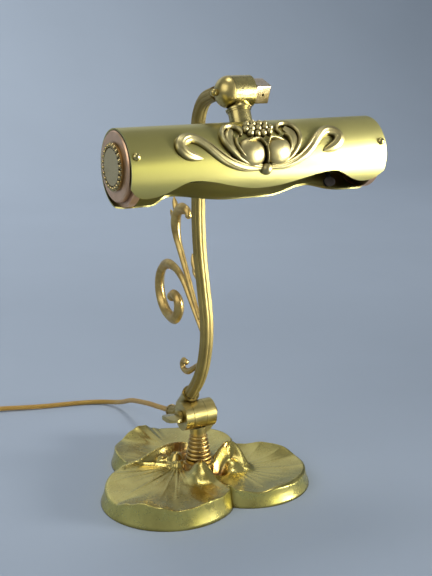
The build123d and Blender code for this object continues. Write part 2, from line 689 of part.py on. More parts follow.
def bulb_cap():
    """The bulb's screw cap with its button contact, home in the holder."""
    back = bulb_mouth + BULB_CAP_LENGTH
    floor = back - 2 * BULB_CAP_SHEET
    cap = rod(BULB_CAP_R, bulb_mouth, back) - rod(BULB_CAP_R - BULB_CAP_SHEET, bulb_mouth, floor)
    cap += rod(BULB_CONTACT_R, floor, back + BULB_CONTACT - SEAT)
    pitch = BULB_CAP_LENGTH / (BULB_THREADS + 1)
    for i in range(BULB_THREADS):
        cap += Pos(0, 0, bulb_mouth + pitch * (i + 0.75)) * Torus(BULB_CAP_R - 0.5, 0.7)
    return along_shade(along_x(cap))


def bulb_outline(inset):
    """Half outline of the glass from the neck to the round tip, drawn in by an inset."""
    tip = bulb_mouth - BULB_LENGTH + inset
    neck = BULB_NECK_R - inset
    body = BULB_R - inset
    return [(neck, bulb_mouth + 4), (neck, bulb_mouth), (neck + 1, bulb_mouth - 7), (body, bulb_mouth - 16),
            (body, tip + 12), (body - 1.6, tip + 6), (body - 5.5, tip + 1.8), (0, tip)]


def bulb_glass():
    """The tubular envelope: a thin shell, open where the screw cap closes it."""
    outline = bulb_outline(0) + bulb_outline(GLASS)[::-1]
    return along_shade(along_x(turned(outline)))


def switch_key():
    """The turn key of the holder: a stem with a flat grip that points out of the shade."""
    grip = extrude(Plane.XZ * SlotOverall(KEY_LENGTH, KEY_WIDTH), KEY_THICK / 2, both=True)
    stem_end = -KEY_REACH + KEY_WIDTH / 2 - 0.5
    key = rod(KEY_STEM_R, stem_end, -HOLDER_BORE_R - 0.6) + Pos(0, 0, -KEY_REACH) * grip
    return along_shade(Pos(key_x, 0, 0) * key)


locknut_top = sqrt((SHADE_R - SHEET) ** 2 - LOCKNUT_R ** 2) - SEAT
holder_back = shade_end - HOLDER_INSET - HOLDER_CAP
holder_mouth = holder_back - HOLDER_LENGTH
bulb_mouth = holder_back - INSULATOR - BULB_CONTACT - BULB_CAP_LENGTH
key_x = holder_mouth + KEY_INSET

parts["shade_shell"] = shade_shell()
for name, side in (("left", -1), ("right", 1)):
    parts[f"end_cap_{name}"] = end_cap(side)
    parts[f"medallion_{name}"] = medallion(side)
parts["cap_screws"] = cap_screws()
parts["ornament"] = ornament()
parts["shade_knuckle"] = shade_knuckle()
parts["neck_collar"] = neck_collar()
parts["neck_nipple"] = neck_nipple()
parts["neck_locknut"] = neck_locknut()
parts["upper_clamp_nut"] = upper_clamp_nut()
parts["holder_cap"] = holder_cap()
parts["holder_shell"] = holder_shell()
parts["holder_insulator"] = holder_insulator()
parts["bulb_cap"] = bulb_cap()
parts["bulb_glass"] = bulb_glass()
parts["switch_key"] = switch_key()


# Cord: lead, coil, tie and plug

def bend_radii(points):
    """The largest arc that each corner of a route allows."""
    radii = []
    for before, corner, after in zip(points, points[1:], points[2:]):
        back = Vector(*before) - Vector(*corner)
        ahead = Vector(*after) - Vector(*corner)
        half_turn = (180 - back.get_angle(ahead)) / 2
        radii.append(0.45 * min(back.length, ahead.length) / tan(radians(half_turn)))
    return radii


def tube(path):
    section = Plane(origin=path @ 0, z_dir=path % 0) * Circle(CORD_R)
    solid = sweep(section, path=path)
    expected = pi * CORD_R ** 2 * path.length
    print("tube", round(path.length, 1), "mm, volume over section", round(solid.volume / expected, 4))
    return solid


def biarc(start, aim, end, end_aim):
    """Two tangent arcs between two points with given directions."""
    chord = end - start
    both = aim + end_aim
    spread = 2 * (1 - aim.dot(end_aim))
    reach = (sqrt(chord.dot(both) ** 2 + spread * chord.dot(chord)) - chord.dot(both)) / spread
    middle = (start + end + (aim - end_aim) * reach) * 0.5
    middle_aim = (end - end_aim * reach) - (start + aim * reach)
    return [TangentArc(start, middle, tangent=aim), TangentArc(middle, end, tangent=middle_aim.normalized())]


def flat_arc(point, aim, radius, turn):
    """A level arc from a point: positive turns to the left. Gives the arc, its end and its end direction."""
    left = Vector(-aim.Y, aim.X, 0)
    hub = point + left * (radius if turn > 0 else -radius)
    middle = hub + (point - hub).rotate(Axis.Z, turn / 2)
    end = hub + (point - hub).rotate(Axis.Z, turn)
    return ThreePointArc(point, middle, end), end, aim.rotate(Axis.Z, turn)


def climb(point, aim, radius):
    """A half turn to the left that rises by one layer, as two quarter turns."""
    rise = Vector(0, 0, COIL_PITCH / 2)
    slope = COIL_PITCH / (pi * radius / 2)
    _, half_way, half_aim = flat_arc(point, aim, radius, 90)
    _, end, end_aim = flat_arc(point, aim, radius, 180)
    steep = (half_aim + Vector(0, 0, slope)).normalized()
    edges = biarc(point, aim, half_way + rise, steep)
    edges += biarc(half_way + rise, steep, end + rise * 2, end_aim)
    return edges, end + rise * 2, end_aim


def coil_path(start, aim):
    """Spiral in on the floor layer, climb one half turn, spiral out on top, then swing away."""
    run = start + aim * (2 * CORD_R + 1)
    edges = [Line(start, run)]
    point = run
    step = COIL_PITCH / 2
    for i in range(COIL_IN_HALF_TURNS):
        edge, point, aim = flat_arc(point, aim, COIL_OUTER - step * i, 180)
        edges.append(edge)
    inner = COIL_OUTER - step * COIL_IN_HALF_TURNS
    rise, point, aim = climb(point, aim, inner)
    edges += rise
    for i in range(COIL_OUT_HALF_TURNS):
        edge, point, aim = flat_arc(point, aim, inner + step * (i + 1), 180)
        edges.append(edge)
    edge, point, aim = flat_arc(point, aim, COIL_SWING_R, COIL_SWING)
    end = point + aim * COIL_TAIL
    edges += [edge, Line(point, end)]
    return Wire([e for curve in edges for e in curve.edges()]), end, aim


def least_gap(path):
    """Smallest distance of the tube's surface from itself, away from its neighbouring stretch."""
    count = int(path.length / 3)
    samples = [tuple(path @ (i / count)) for i in range(count + 1)]
    apart = int(8 * CORD_R / 3) + 1
    least = min(dist(p, q) for i, p in enumerate(samples) for q in samples[i + apart:])
    return least - 2 * CORD_R


def coil_tie(hub):
    """A flat strap round all the turns at the coil's left."""
    inner = COIL_OUTER - COIL_PITCH / 2 * COIL_IN_HALF_TURNS
    low = inner - CORD_R - TIE_ROOM - TIE
    width = COIL_OUTER + CORD_R + TIE_ROOM - low
    top = COIL_LIFT + 2 * CORD_R + COIL_PITCH + TIE_ROOM
    foot = (Align.MIN, Align.CENTER, Align.MIN)
    strap = Box(width + 2 * TIE, TIE_WIDTH, top + TIE, align=foot)
    strap -= Pos(TIE, 0, TIE) * Box(width, TIE_WIDTH, top - TIE, align=foot)
    return Pos(hub.X - low - width - TIE, hub.Y, 0) * strap


outlet = outlet_plane.origin + outlet_plane.z_dir * (BUSH_LIP + SEAT)
straight_out = outlet + outlet_plane.z_dir * CORD_EXIT_RUN
route = [tuple(outlet), tuple(straight_out)] + CORD_ROUTE
lead_radii = bend_radii(route)
print("lead bends", [round(r, 1) for r in lead_radii])
lead_path = FilletPolyline(*route, radius=lead_radii)
parts["cord_lead"] = tube(lead_path)

coil_start = Vector(*CORD_ROUTE[-1])
coil_aim = (coil_start - Vector(*CORD_ROUTE[-2])).normalized()
coil_wire, coil_end, plug_aim = coil_path(coil_start, coil_aim)
print("coil least gap", round(least_gap(coil_wire), 2))
print("cord length", round(lead_path.length + coil_wire.length, 1))
parts["cord_coil"] = tube(coil_wire)
coil_hub = coil_start + coil_aim * (2 * CORD_R + 1) + Vector(-coil_aim.Y, coil_aim.X, 0) * COIL_OUTER
parts["coil_tie"] = coil_tie(coil_hub)

plug_place = Location(Plane(origin=coil_end + plug_aim * SEAT, x_dir=(0, 0, 1), z_dir=plug_aim))
plug_thick = coil_end.Z * 2
plug_sections = [Rectangle(PLUG_NECK, PLUG_NECK),
                 Pos(0, 0, PLUG_NECK) * Rectangle(plug_thick - 3, PLUG_SHOULDER),
                 Pos(0, 0, PLUG_LENGTH) * Rectangle(plug_thick - 2 * FACE_GAP, PLUG_FACE)]
plug_body = loft(plug_sections[:2]) + loft(plug_sections[1:])
parts["plug_body"] = plug_place * plug_body
blade = Box(BLADE_WIDTH, BLADE, BLADE_LENGTH, align=(Align.CENTER, Align.CENTER, Align.MIN))
blade_places = [Pos(0, side * BLADE_PITCH / 2, PLUG_LENGTH + SEAT) for side in (-1, 1)]
parts["plug_blades"] = Compound([plug_place * place * blade for place in blade_places])

os.makedirs("parts", exist_ok=True)
for node, shape in parts.items():
    export_step(shape, f"parts/{node}.step")
    print(node, len(shape.solids()), round(shape.volume))
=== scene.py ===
import json
from math import atan2, cos, degrees, exp, hypot, pi, radians, sin, sqrt

import bpy
from mathutils import Matrix, Vector


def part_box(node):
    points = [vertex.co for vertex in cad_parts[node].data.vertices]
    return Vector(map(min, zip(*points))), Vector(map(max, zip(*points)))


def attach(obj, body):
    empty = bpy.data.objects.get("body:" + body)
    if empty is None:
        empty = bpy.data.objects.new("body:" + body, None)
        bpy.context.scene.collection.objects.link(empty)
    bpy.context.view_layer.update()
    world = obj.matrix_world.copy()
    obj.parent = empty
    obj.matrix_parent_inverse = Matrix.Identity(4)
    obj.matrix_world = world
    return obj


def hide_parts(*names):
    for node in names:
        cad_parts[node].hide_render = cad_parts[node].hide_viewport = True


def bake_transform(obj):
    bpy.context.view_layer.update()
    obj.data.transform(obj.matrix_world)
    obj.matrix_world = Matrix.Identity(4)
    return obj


# Looks of the desk lamp: lily-leaf base, reeded arm with cast scrolls, tubular shade with a cast mount.
# The lamp's own lengths are millimetres and become metres where a mesh is made.
# Camera, table and lights are placed in metres.

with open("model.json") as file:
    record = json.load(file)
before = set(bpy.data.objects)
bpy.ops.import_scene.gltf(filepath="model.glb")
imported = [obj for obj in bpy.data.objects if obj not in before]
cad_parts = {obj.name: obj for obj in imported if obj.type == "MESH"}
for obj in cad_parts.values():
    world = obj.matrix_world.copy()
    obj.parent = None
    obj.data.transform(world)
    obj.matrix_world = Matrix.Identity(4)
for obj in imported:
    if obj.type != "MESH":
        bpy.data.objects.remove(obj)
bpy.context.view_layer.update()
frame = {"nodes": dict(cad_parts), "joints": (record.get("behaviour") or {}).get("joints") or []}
nodes = frame["nodes"]
joints = {joint["name"]: joint for joint in frame["joints"]}
MM = 0.001
UP = Vector((0, 0, 1))


# Camera at the photograph's viewpoint

CAMERA_AT = Vector((-0.4191, -0.8198, 0.4398))
CAMERA_AIM = Vector((0.01665, -0.0059, 0.19906))
CAMERA_LENS = 62.3
CAMERA_SENSOR = 36


def aimed(start, target):
    """Rotation that points a camera or a light from start to target."""
    return (Vector(target) - Vector(start)).to_track_quat("-Z", "Y").to_euler()


def add_camera():
    data = bpy.data.cameras.new("camera")
    data.lens = CAMERA_LENS
    data.sensor_width = CAMERA_SENSOR
    camera = bpy.data.objects.new("camera", data)
    camera.location = CAMERA_AT
    camera.rotation_euler = aimed(CAMERA_AT, CAMERA_AIM)
    bpy.context.collection.objects.link(camera)
    bpy.context.scene.camera = camera


add_camera()


# Mesh helpers

def mesh_piece(name, points, faces):
    """A smooth mesh object from points in millimetres."""
    mesh = bpy.data.meshes.new(name)
    mesh.from_pydata([Vector(p) * MM for p in points], [], faces)
    mesh.polygons.foreach_set("use_smooth", [True] * len(mesh.polygons))
    mesh.update()
    piece = bpy.data.objects.new(name, mesh)
    bpy.context.collection.objects.link(piece)
    return piece


def grid_faces(rows, columns, closed=True):
    """Quads between rows of points; closed joins the last column to the first."""
    faces = []
    for i in range(rows - 1):
        low = i * columns
        high = low + columns
        for j in range(columns if closed else columns - 1):
            k = (j + 1) % columns
            faces.append((low + j, low + k, high + k, high + j))
    return faces


def tube_faces(rows, columns):
    """Quads round a tube of points, and one flat face at each end."""
    last = (rows - 1) * columns
    ends = [tuple(range(columns))[::-1], tuple(range(last, last + columns))]
    return grid_faces(rows, columns) + ends


def turned_over(faces):
    return [face[::-1] for face in faces]


def joined(parts):
    """One list of points and one of faces from several (points, faces) parts."""
    points = []
    faces = []
    for part_points, part_faces in parts:
        faces += [tuple(len(points) + k for k in face) for face in part_faces]
        points += part_points
    return points, faces


def smooth_line(points, steps):
    """Catmull-Rom points through given ones, which may hold any number of values each."""
    before = [2 * a - b for a, b in zip(points[0], points[1])]
    after = [2 * a - b for a, b in zip(points[-1], points[-2])]
    knots = [before, *points, after]
    line = []
    for p0, p1, p2, p3 in zip(knots, knots[1:], knots[2:], knots[3:]):
        for i in range(steps):
            t = i / steps
            line.append([0.5 * (2 * b + (c - a) * t + (2 * a - 5 * b + 4 * c - d) * t * t
                                + (3 * b - a - 3 * c + d) * t ** 3)
                         for a, b, c, d in zip(p0, p1, p2, p3)])
    return line + [list(points[-1])]


def neighbours(line, i):
    """The points before and after one of a line; at either end one of them is the point itself."""
    return line[max(i - 1, 0)], line[min(i + 1, len(line) - 1)]


def carried_frames(line):
    """Side and lift at each point of a line, carried along without twist."""
    tangents = []
    for i in range(len(line)):
        behind, ahead = neighbours(line, i)
        tangents.append((ahead - behind).normalized())
    side = tangents[0].cross(UP).normalized()
    frames = []
    for tangent in tangents:
        side = (side - tangent * side.dot(tangent)).normalized()
        frames.append((side, tangent.cross(side)))
    return frames


def smooth_step(low, high, value):
    """Ease from 0 at low to 1 at high."""
    share = min(1.0, max(0.0, (value - low) / (high - low)))
    return share * share * (3 - 2 * share)


def bell(value):
    """1 at nought, fading away on both sides."""
    return exp(-value ** 2 / 2)


# Node helpers for the materials

# Sockets of the mix node that take and give colours
MIX_INPUTS = (0, 6, 7)
MIX_OUTPUT = 2


def new_material(name):
    material = bpy.data.materials.new(name)
    material.use_nodes = True
    tree = material.node_tree
    return material, tree, tree.nodes["Principled BSDF"]


def add_node(tree, kind, **values):
    """A node with its sockets set by name, and its own settings by lower-case name."""
    node = tree.nodes.new(kind)
    for key, value in values.items():
        if key[0].isupper():
            node.inputs[key.replace("_", " ")].default_value = value
        else:
            setattr(node, key, value)
    return node


def ramp_node(tree, stops, source):
    """A colour ramp with (place, colour) stops."""
    ramp = tree.nodes.new("ShaderNodeValToRGB")
    for point, (place, colour) in zip(ramp.color_ramp.elements, stops):
        point.position = place
        point.color = (*colour, 1)
    tree.links.new(source, ramp.inputs["Fac"])
    return ramp.outputs["Color"]


def grey(value):
    return (value, value, value)


def mix_colours(tree, amount, first, second, blend="MIX"):
    """Mix two colours, each a socket or a constant, by a socket or a constant."""
    mix = add_node(tree, "ShaderNodeMix", data_type="RGBA", blend_type=blend)
    for number, value in zip(MIX_INPUTS, (amount, first, second)):
        socket = mix.inputs[number]
        if isinstance(value, bpy.types.NodeSocket):
            tree.links.new(value, socket)
        else:
            socket.default_value = value if isinstance(value, float) else (*value, 1)
    return mix.outputs[MIX_OUTPUT]


def noise(tree, coordinates, scale, detail=4.0, roughness=0.55):
    made = add_node(tree, "ShaderNodeTexNoise", Scale=scale, Detail=detail, Roughness=roughness)
    tree.links.new(coordinates, made.inputs["Vector"])
    return made.outputs["Fac"]


def stretched(tree, scale=(1, 1, 1)):
    """Object coordinates, stretched by three factors."""
    place = add_node(tree, "ShaderNodeTexCoord")
    mapping = add_node(tree, "ShaderNodeMapping", Scale=scale)
    tree.links.new(place.outputs["Object"], mapping.inputs["Vector"])
    return mapping.outputs["Vector"]


def bump(tree, shader, height, distance, strength):
    made = add_node(tree, "ShaderNodeBump", Strength=strength, Distance=distance)
    tree.links.new(height, made.inputs["Height"])
    tree.links.new(made.outputs["Normal"], shader.inputs["Normal"])


# Materials

# Brass: specks and rubbed spots to each cloudy patch, scale and depth of the grain, rays that find hollows to
# darken them with painted shade and dirt
SPECKS_PER_PATCH = 9
RUBS_PER_PATCH = 2.5
GRAIN_SCALE = 900.0
GRAIN_DEPTH = 0.0004
HOLLOW_SAMPLES = 8

# Scale of the stains, threads of the cord's braid, and how much darker the backdrop's clouds are
STAIN_SCALE = 70.0
BRAID_SCALE = 6.0
BACKDROP_SHADE = 0.97


def brass(name, bright, dull, hollow, roughness, grain, patch=28.0, painted_shade_and_dirt=0.75, reach=0.007, specks=0.55,
          metal=1.0):
    """Brass with cloudy colour, dull specks, hollows darkened by painted shade and dirt, uneven polish and a
    fine grain.
    """
    material, tree, shader = new_material(name)
    shader.inputs["Metallic"].default_value = metal
    place = stretched(tree)
    cloud = noise(tree, place, patch, detail=5.0, roughness=0.6)
    colour = ramp_node(tree, [(0.3, dull), (0.62, bright)], cloud)
    fine_cloud = noise(tree, place, patch * SPECKS_PER_PATCH, detail=3.0, roughness=0.6)
    spots = ramp_node(tree, [(0.66, grey(0)), (0.78, grey(specks))], fine_cloud)
    colour = mix_colours(tree, spots, colour, dull)
    # Painted shade: corners and recesses that the occlusion rays find are darkened towards the hollow colour,
    # standing for both shade and dirt
    open_air = add_node(tree, "ShaderNodeAmbientOcclusion", Distance=reach, samples=HOLLOW_SAMPLES)
    hollow_shade_mask = ramp_node(tree, [(0.25, grey(painted_shade_and_dirt)), (0.85, grey(0))], open_air.outputs["AO"])
    colour = mix_colours(tree, hollow_shade_mask, colour, hollow)
    tree.links.new(colour, shader.inputs["Base Color"])
    low, high = roughness
    rubs = noise(tree, place, patch * RUBS_PER_PATCH, detail=5.0, roughness=0.65)
    polish = ramp_node(tree, [(0.3, grey(low)), (0.75, grey(high))], rubs)
    tree.links.new(polish, shader.inputs["Roughness"])
    bump(tree, shader, noise(tree, place, GRAIN_SCALE, detail=3.0), GRAIN_DEPTH, grain)
    return material


def brush_lengthwise(material, amount):
    """Polish marks along X, which spread a highlight round a tube that lies along X."""
    tree = material.node_tree
    shader = tree.nodes["Principled BSDF"]
    around = add_node(tree, "ShaderNodeTangent", direction_type="RADIAL", axis="X")
    tree.links.new(around.outputs["Tangent"], shader.inputs["Tangent"])
    shader.inputs["Anisotropic"].default_value = amount


def stain_and_shade_hollows(material, colour, places):
    """Brown patches round (x, y, inner radius, outer radius) places: tarnish where polish never reached, and
    at some places painted shade.
    """
    tree = material.node_tree
    shader = tree.nodes["Principled BSDF"]
    flat = stretched(tree, (1, 1, 0))
    cloud = noise(tree, stretched(tree), STAIN_SCALE)
    patches = ramp_node(tree, [(0.40, grey(0.15)), (0.58, grey(1))], cloud)
    stained = shader.inputs["Base Color"].links[0].from_socket
    for x, y, inner, outer in places:
        away = add_node(tree, "ShaderNodeVectorMath", operation="DISTANCE")
        away.inputs[1].default_value = (x * MM, y * MM, 0)
        tree.links.new(flat, away.inputs[0])
        near = ramp_node(tree, [(inner * MM, grey(1)), (outer * MM, grey(0))], away.outputs["Value"])
        amount = mix_colours(tree, 1.0, near, patches, "MULTIPLY")
        stained = mix_colours(tree, amount, stained, colour)
    tree.links.new(stained, shader.inputs["Base Color"])


def plain_steel(name):
    material, tree, shader = new_material(name)
    shader.inputs["Metallic"].default_value = 1.0
    place = stretched(tree, (1, 1, 12))
    stops = [(0.35, (0.34, 0.34, 0.35)), (0.7, (0.56, 0.56, 0.57))]
    colour = ramp_node(tree, stops, noise(tree, place, scale=160.0))
    tree.links.new(colour, shader.inputs["Base Color"])
    polish = ramp_node(tree, [(0.3, grey(0.28)), (0.7, grey(0.45))], noise(tree, place, scale=300.0))
    tree.links.new(polish, shader.inputs["Roughness"])
    return material


def gloss(name, first, second, roughness, shine=0.5):
    """Moulded or glazed material with a faint mottle."""
    material, tree, shader = new_material(name)
    place = stretched(tree)
    mottle = noise(tree, place, scale=190.0, detail=6.0, roughness=0.7)
    tree.links.new(ramp_node(tree, [(0.35, first), (0.7, second)], mottle), shader.inputs["Base Color"])
    stops = [(0.3, grey(roughness)), (0.7, grey(roughness + 0.12))]
    polish = ramp_node(tree, stops, noise(tree, place, scale=420.0))
    tree.links.new(polish, shader.inputs["Roughness"])
    shader.inputs["Specular IOR Level"].default_value = shine
    return material


def clear_glass(name):
    material, tree, shader = new_material(name)
    shader.inputs["Transmission Weight"].default_value = 1.0
    shader.inputs["IOR"].default_value = 1.1
    place = stretched(tree)
    stops = [(0.4, (0.93, 0.95, 0.93)), (0.6, (1, 1, 0.98))]
    tint = ramp_node(tree, stops, noise(tree, place, scale=60.0))
    tree.links.new(tint, shader.inputs["Base Color"])
    haze = ramp_node(tree, [(0.4, grey(0.05)), (0.65, grey(0.14))], noise(tree, place, scale=120.0))
    tree.links.new(haze, shader.inputs["Roughness"])
    return material


def napped_cloth(name, first, second):
    material, tree, shader = new_material(name)
    fibres = noise(tree, stretched(tree), scale=1400.0, detail=6.0, roughness=0.75)
    tree.links.new(ramp_node(tree, [(0.3, first), (0.7, second)], fibres), shader.inputs["Base Color"])
    shader.inputs["Roughness"].default_value = 0.95
    shader.inputs["Sheen Weight"].default_value = 0.4
    bump(tree, shader, fibres, distance=0.0006, strength=0.6)
    return material


def braided_cloth(name, thread, shadow, worn):
    """A woven sleeve: two sets of threads that cross on the slant, with faded patches."""
    material, tree, shader = new_material(name)
    place = add_node(tree, "ShaderNodeTexCoord")
    threads = []
    for slant in (-BRAID_SCALE, BRAID_SCALE):
        mapping = add_node(tree, "ShaderNodeMapping", Scale=(BRAID_SCALE, slant, 1.0))
        tree.links.new(place.outputs["UV"], mapping.inputs["Vector"])
        wave = add_node(tree, "ShaderNodeTexWave", Scale=1.0, Distortion=0.6, bands_direction="DIAGONAL")
        tree.links.new(mapping.outputs["Vector"], wave.inputs["Vector"])
        threads.append(wave.outputs["Fac"])
    weave = add_node(tree, "ShaderNodeMath", operation="MAXIMUM")
    for socket, source in zip(weave.inputs, threads):
        tree.links.new(source, socket)
    colour = ramp_node(tree, [(0.35, shadow), (0.85, thread)], weave.outputs[0])
    wear = noise(tree, stretched(tree), scale=55.0, detail=5.0)
    fade = ramp_node(tree, [(0.45, grey(0)), (0.75, grey(0.6))], wear)
    colour = mix_colours(tree, fade, colour, worn)
    tree.links.new(colour, shader.inputs["Base Color"])
    shader.inputs["Roughness"].default_value = 0.8
    shader.inputs["Sheen Weight"].default_value = 0.25
    bump(tree, shader, weave.outputs[0], distance=0.0005, strength=0.6)
    return material


def backdrop_paint(name, colour):
    material, tree, shader = new_material(name)
    dark = tuple(BACKDROP_SHADE * c for c in colour)
    cloud = noise(tree, stretched(tree), scale=3.0)
    tree.links.new(ramp_node(tree, [(0.35, dark), (0.65, colour)], cloud), shader.inputs["Base Color"])
    shader.inputs["Roughness"].default_value = 0.9
    return material


shade_brass = brass("shade_brass", bright=(0.48, 0.43, 0.15), dull=(0.455, 0.405, 0.137),
                    hollow=(0.16, 0.11, 0.03), roughness=(0.285, 0.305), grain=0.02, patch=22.0, painted_shade_and_dirt=0.5,
                    reach=0.004, specks=0.2)
brush_lengthwise(shade_brass, 0.8)
knuckle_brass = brass("knuckle_brass", bright=(0.50, 0.43, 0.175), dull=(0.37, 0.29, 0.10),
                      hollow=(0.10, 0.055, 0.015), roughness=(0.20, 0.34), grain=0.08, patch=55.0, painted_shade_and_dirt=0.9,
                      reach=0.006)
gilt_brass = brass("gilt_brass", bright=(0.58, 0.47, 0.18), dull=(0.42, 0.32, 0.10),
                   hollow=(0.12, 0.07, 0.02), roughness=(0.24, 0.40), grain=0.16)
arm_brass = brass("arm_brass", bright=(0.345, 0.265, 0.075), dull=(0.24, 0.175, 0.044),
                  hollow=(0.07, 0.045, 0.015), roughness=(0.46, 0.58), grain=0.16, patch=34.0, painted_shade_and_dirt=0.9,
                  reach=0.003, metal=0.5)
warm_brass = brass("warm_brass", bright=(0.60, 0.43, 0.15), dull=(0.38, 0.245, 0.075),
                   hollow=(0.11, 0.05, 0.012), roughness=(0.30, 0.46), grain=0.4, patch=90.0)
leaf_brass = brass("leaf_brass", bright=(0.62, 0.52, 0.165), dull=(0.50, 0.395, 0.11),
                   hollow=(0.26, 0.11, 0.02), roughness=(0.20, 0.34), grain=0.16, patch=24.0, painted_shade_and_dirt=0.9,
                   reach=0.010)
# Tarnish round the stem; the patches behind the back crest and by the right leaf's curled tongue also paint
# shade there
stain_and_shade_hollows(leaf_brass, colour=(0.34, 0.17, 0.05),
              places=[(0, 0, 13, 25), (-8, 36, 10, 24), (24, 6, 6, 15), (14, -14, 5, 13)])
# The base's outer wall: a lighter copy of the leaf brass, a painted highlight for the light the wall catches
lit_wall_brass = brass("lit_wall_brass", bright=(0.66, 0.58, 0.18), dull=(0.46, 0.385, 0.11),
                   hollow=(0.12, 0.07, 0.02), roughness=(0.22, 0.38), grain=0.2, patch=40.0)
cast_brass = brass("cast_brass", bright=(0.44, 0.38, 0.18), dull=(0.34, 0.28, 0.12),
                   hollow=(0.05, 0.035, 0.012), roughness=(0.34, 0.48), grain=0.12, patch=60.0, painted_shade_and_dirt=0.95)
medal_brass = brass("medal_brass", bright=(0.50, 0.385, 0.17), dull=(0.42, 0.31, 0.125),
                    hollow=(0.08, 0.05, 0.015), roughness=(0.12, 0.22), grain=0.08, patch=60.0, painted_shade_and_dirt=0.6,
                    reach=0.003)
# A darkened copy of the brass for the base's cap nut: painted shade, as the nut sits in shadow at the
# knuckle's far end
shaded_brass = brass("shaded_brass", bright=(0.20, 0.14, 0.06), dull=(0.12, 0.08, 0.03),
                   hollow=(0.04, 0.025, 0.01), roughness=(0.20, 0.36), grain=0.08, patch=60.0)
# A much lighter copy of the brass for the upper clamp nut: a painted highlight on its front facet
lit_nut_brass = brass("lit_nut_brass", bright=(0.82, 0.68, 0.50), dull=(0.64, 0.48, 0.30),
                  hollow=(0.10, 0.06, 0.03), roughness=(0.14, 0.26), grain=0.08, patch=60.0)
# End caps: the long occlusion reach paints shade over the cap's skirt and recess inside the tube
copper_brass = brass("copper_brass", bright=(0.72, 0.46, 0.28), dull=(0.56, 0.34, 0.19),
                     hollow=(0.05, 0.03, 0.015), roughness=(0.32, 0.46), grain=0.08, patch=45.0, painted_shade_and_dirt=0.9,
                     reach=0.012)
bright_brass = brass("bright_brass", bright=(0.72, 0.58, 0.26), dull=(0.60, 0.46, 0.17),
                     hollow=(0.18, 0.11, 0.03), roughness=(0.20, 0.34), grain=0.06, patch=60.0)
steel = plain_steel("steel")
holder_ceramic = gloss("holder_ceramic", (0.82, 0.80, 0.72), (0.90, 0.88, 0.82), roughness=0.18)
black_gloss = gloss("black_gloss", (0.006, 0.005, 0.004), (0.014, 0.011, 0.009), roughness=0.5, shine=0.02)
brown_gloss = gloss("brown_gloss", (0.035, 0.014, 0.007), (0.075, 0.030, 0.014), roughness=0.2)
bulb_glass = clear_glass("bulb_glass")
felt = napped_cloth("felt", (0.012, 0.030, 0.016), (0.030, 0.062, 0.036))
tie_cloth = napped_cloth("tie_cloth", (0.022, 0.016, 0.010), (0.055, 0.040, 0.026))
cord_cloth = braided_cloth("cord_cloth", thread=(0.52, 0.30, 0.040), shadow=(0.18, 0.090, 0.012),
                           worn=(0.46, 0.30, 0.060))


# Cord: a loose lead over the table and a tied coil behind, out of the camera's view

CORD_R = 2.75
CORD_SIDES = 14

# Control points of the lead, from the bush at the arm's lower end to where the coil begins
ROUTE = [(-4.9, 51.48, 57.95), (-4.73, 80.77, 51.45), (-3.5, 108.0, 45.7), (-1.5, 140.0, 37.0),
         (2.0, 175.0, 26.5), (5.0, 205.0, 13.0), (3.0, 228.0, 5.5), (-10.0, 245.0, 2.75),
         (-34.0, 253.0, 2.75), (-80.0, 262.5, 2.75), (-128.0, 277.5, 4.15), (-182.0, 288.0, 4.15)]

# Coil: a short run in, half turns inward and outward, then a swing and a tail to the plug
COIL_RUN_IN = 2 * CORD_R + 1
COIL_PITCH = 6.0
COIL_OUTER = 40.5
COIL_IN_HALF_TURNS = 7
COIL_OUT_HALF_TURNS = 6
COIL_SWING_R = 30.0
COIL_SWING = -42.0
COIL_TAIL = 10.0
COIL_STEP = 15.0
HALF_TURN = 180.0
SPLINE_ORDER = 3
SPLINE_STEPS = 6


def arc_points(point, aim, radius, turn, rise=0.0):
    """Control points of an arc that turns left for a positive angle, and the direction at its end."""
    left = Vector((-aim.y, aim.x, 0))
    hub = point + left * (radius if turn > 0 else -radius)
    steps = round(abs(turn) / COIL_STEP)
    points = []
    for i in range(1, steps + 1):
        spin = Matrix.Rotation(radians(turn * i / steps), 3, "Z")
        points.append(hub + spin @ (point - hub) + UP * rise * smooth_step(0, steps, i))
    return points, Matrix.Rotation(radians(turn), 3, "Z") @ aim


def coil_points(start, aim):
    """Spiral in on the table, climb in one half turn, spiral out on top and swing away to the plug."""
    points = [start + aim * COIL_RUN_IN]
    step = COIL_PITCH / 2
    inner = COIL_OUTER - step * COIL_IN_HALF_TURNS
    turns = [(COIL_OUTER - step * i, HALF_TURN, 0.0) for i in range(COIL_IN_HALF_TURNS)]
    turns += [(inner, HALF_TURN, COIL_PITCH)]
    turns += [(inner + step * (i + 1), HALF_TURN, 0.0) for i in range(COIL_OUT_HALF_TURNS)]
    turns += [(COIL_SWING_R, COIL_SWING, 0.0)]
    for radius, turn, rise in turns:
        made, aim = arc_points(points[-1], aim, radius, turn, rise)
        points += made
    return points + [points[-1] + aim * COIL_TAIL]


def spline_line(points):
    """Points along the NURBS spline that has these control points, in metres."""
    curve = bpy.data.curves.new("cord_line", "CURVE")
    curve.dimensions = "3D"
    curve.resolution_u = SPLINE_STEPS
    spline = curve.splines.new("NURBS")
    spline.points.add(len(points) - 1)
    for knot, point in zip(spline.points, points):
        knot.co = (*(Vector(point) * MM), 1)
    spline.order_u = SPLINE_ORDER
    spline.use_endpoint_u = True
    holder = bpy.data.objects.new("cord_line", curve)
    bpy.context.collection.objects.link(holder)
    mesh = bpy.data.meshes.new_from_object(holder)
    line = [v.co.copy() for v in mesh.vertices]
    bpy.data.meshes.remove(mesh)
    bpy.data.objects.remove(holder)
    return line


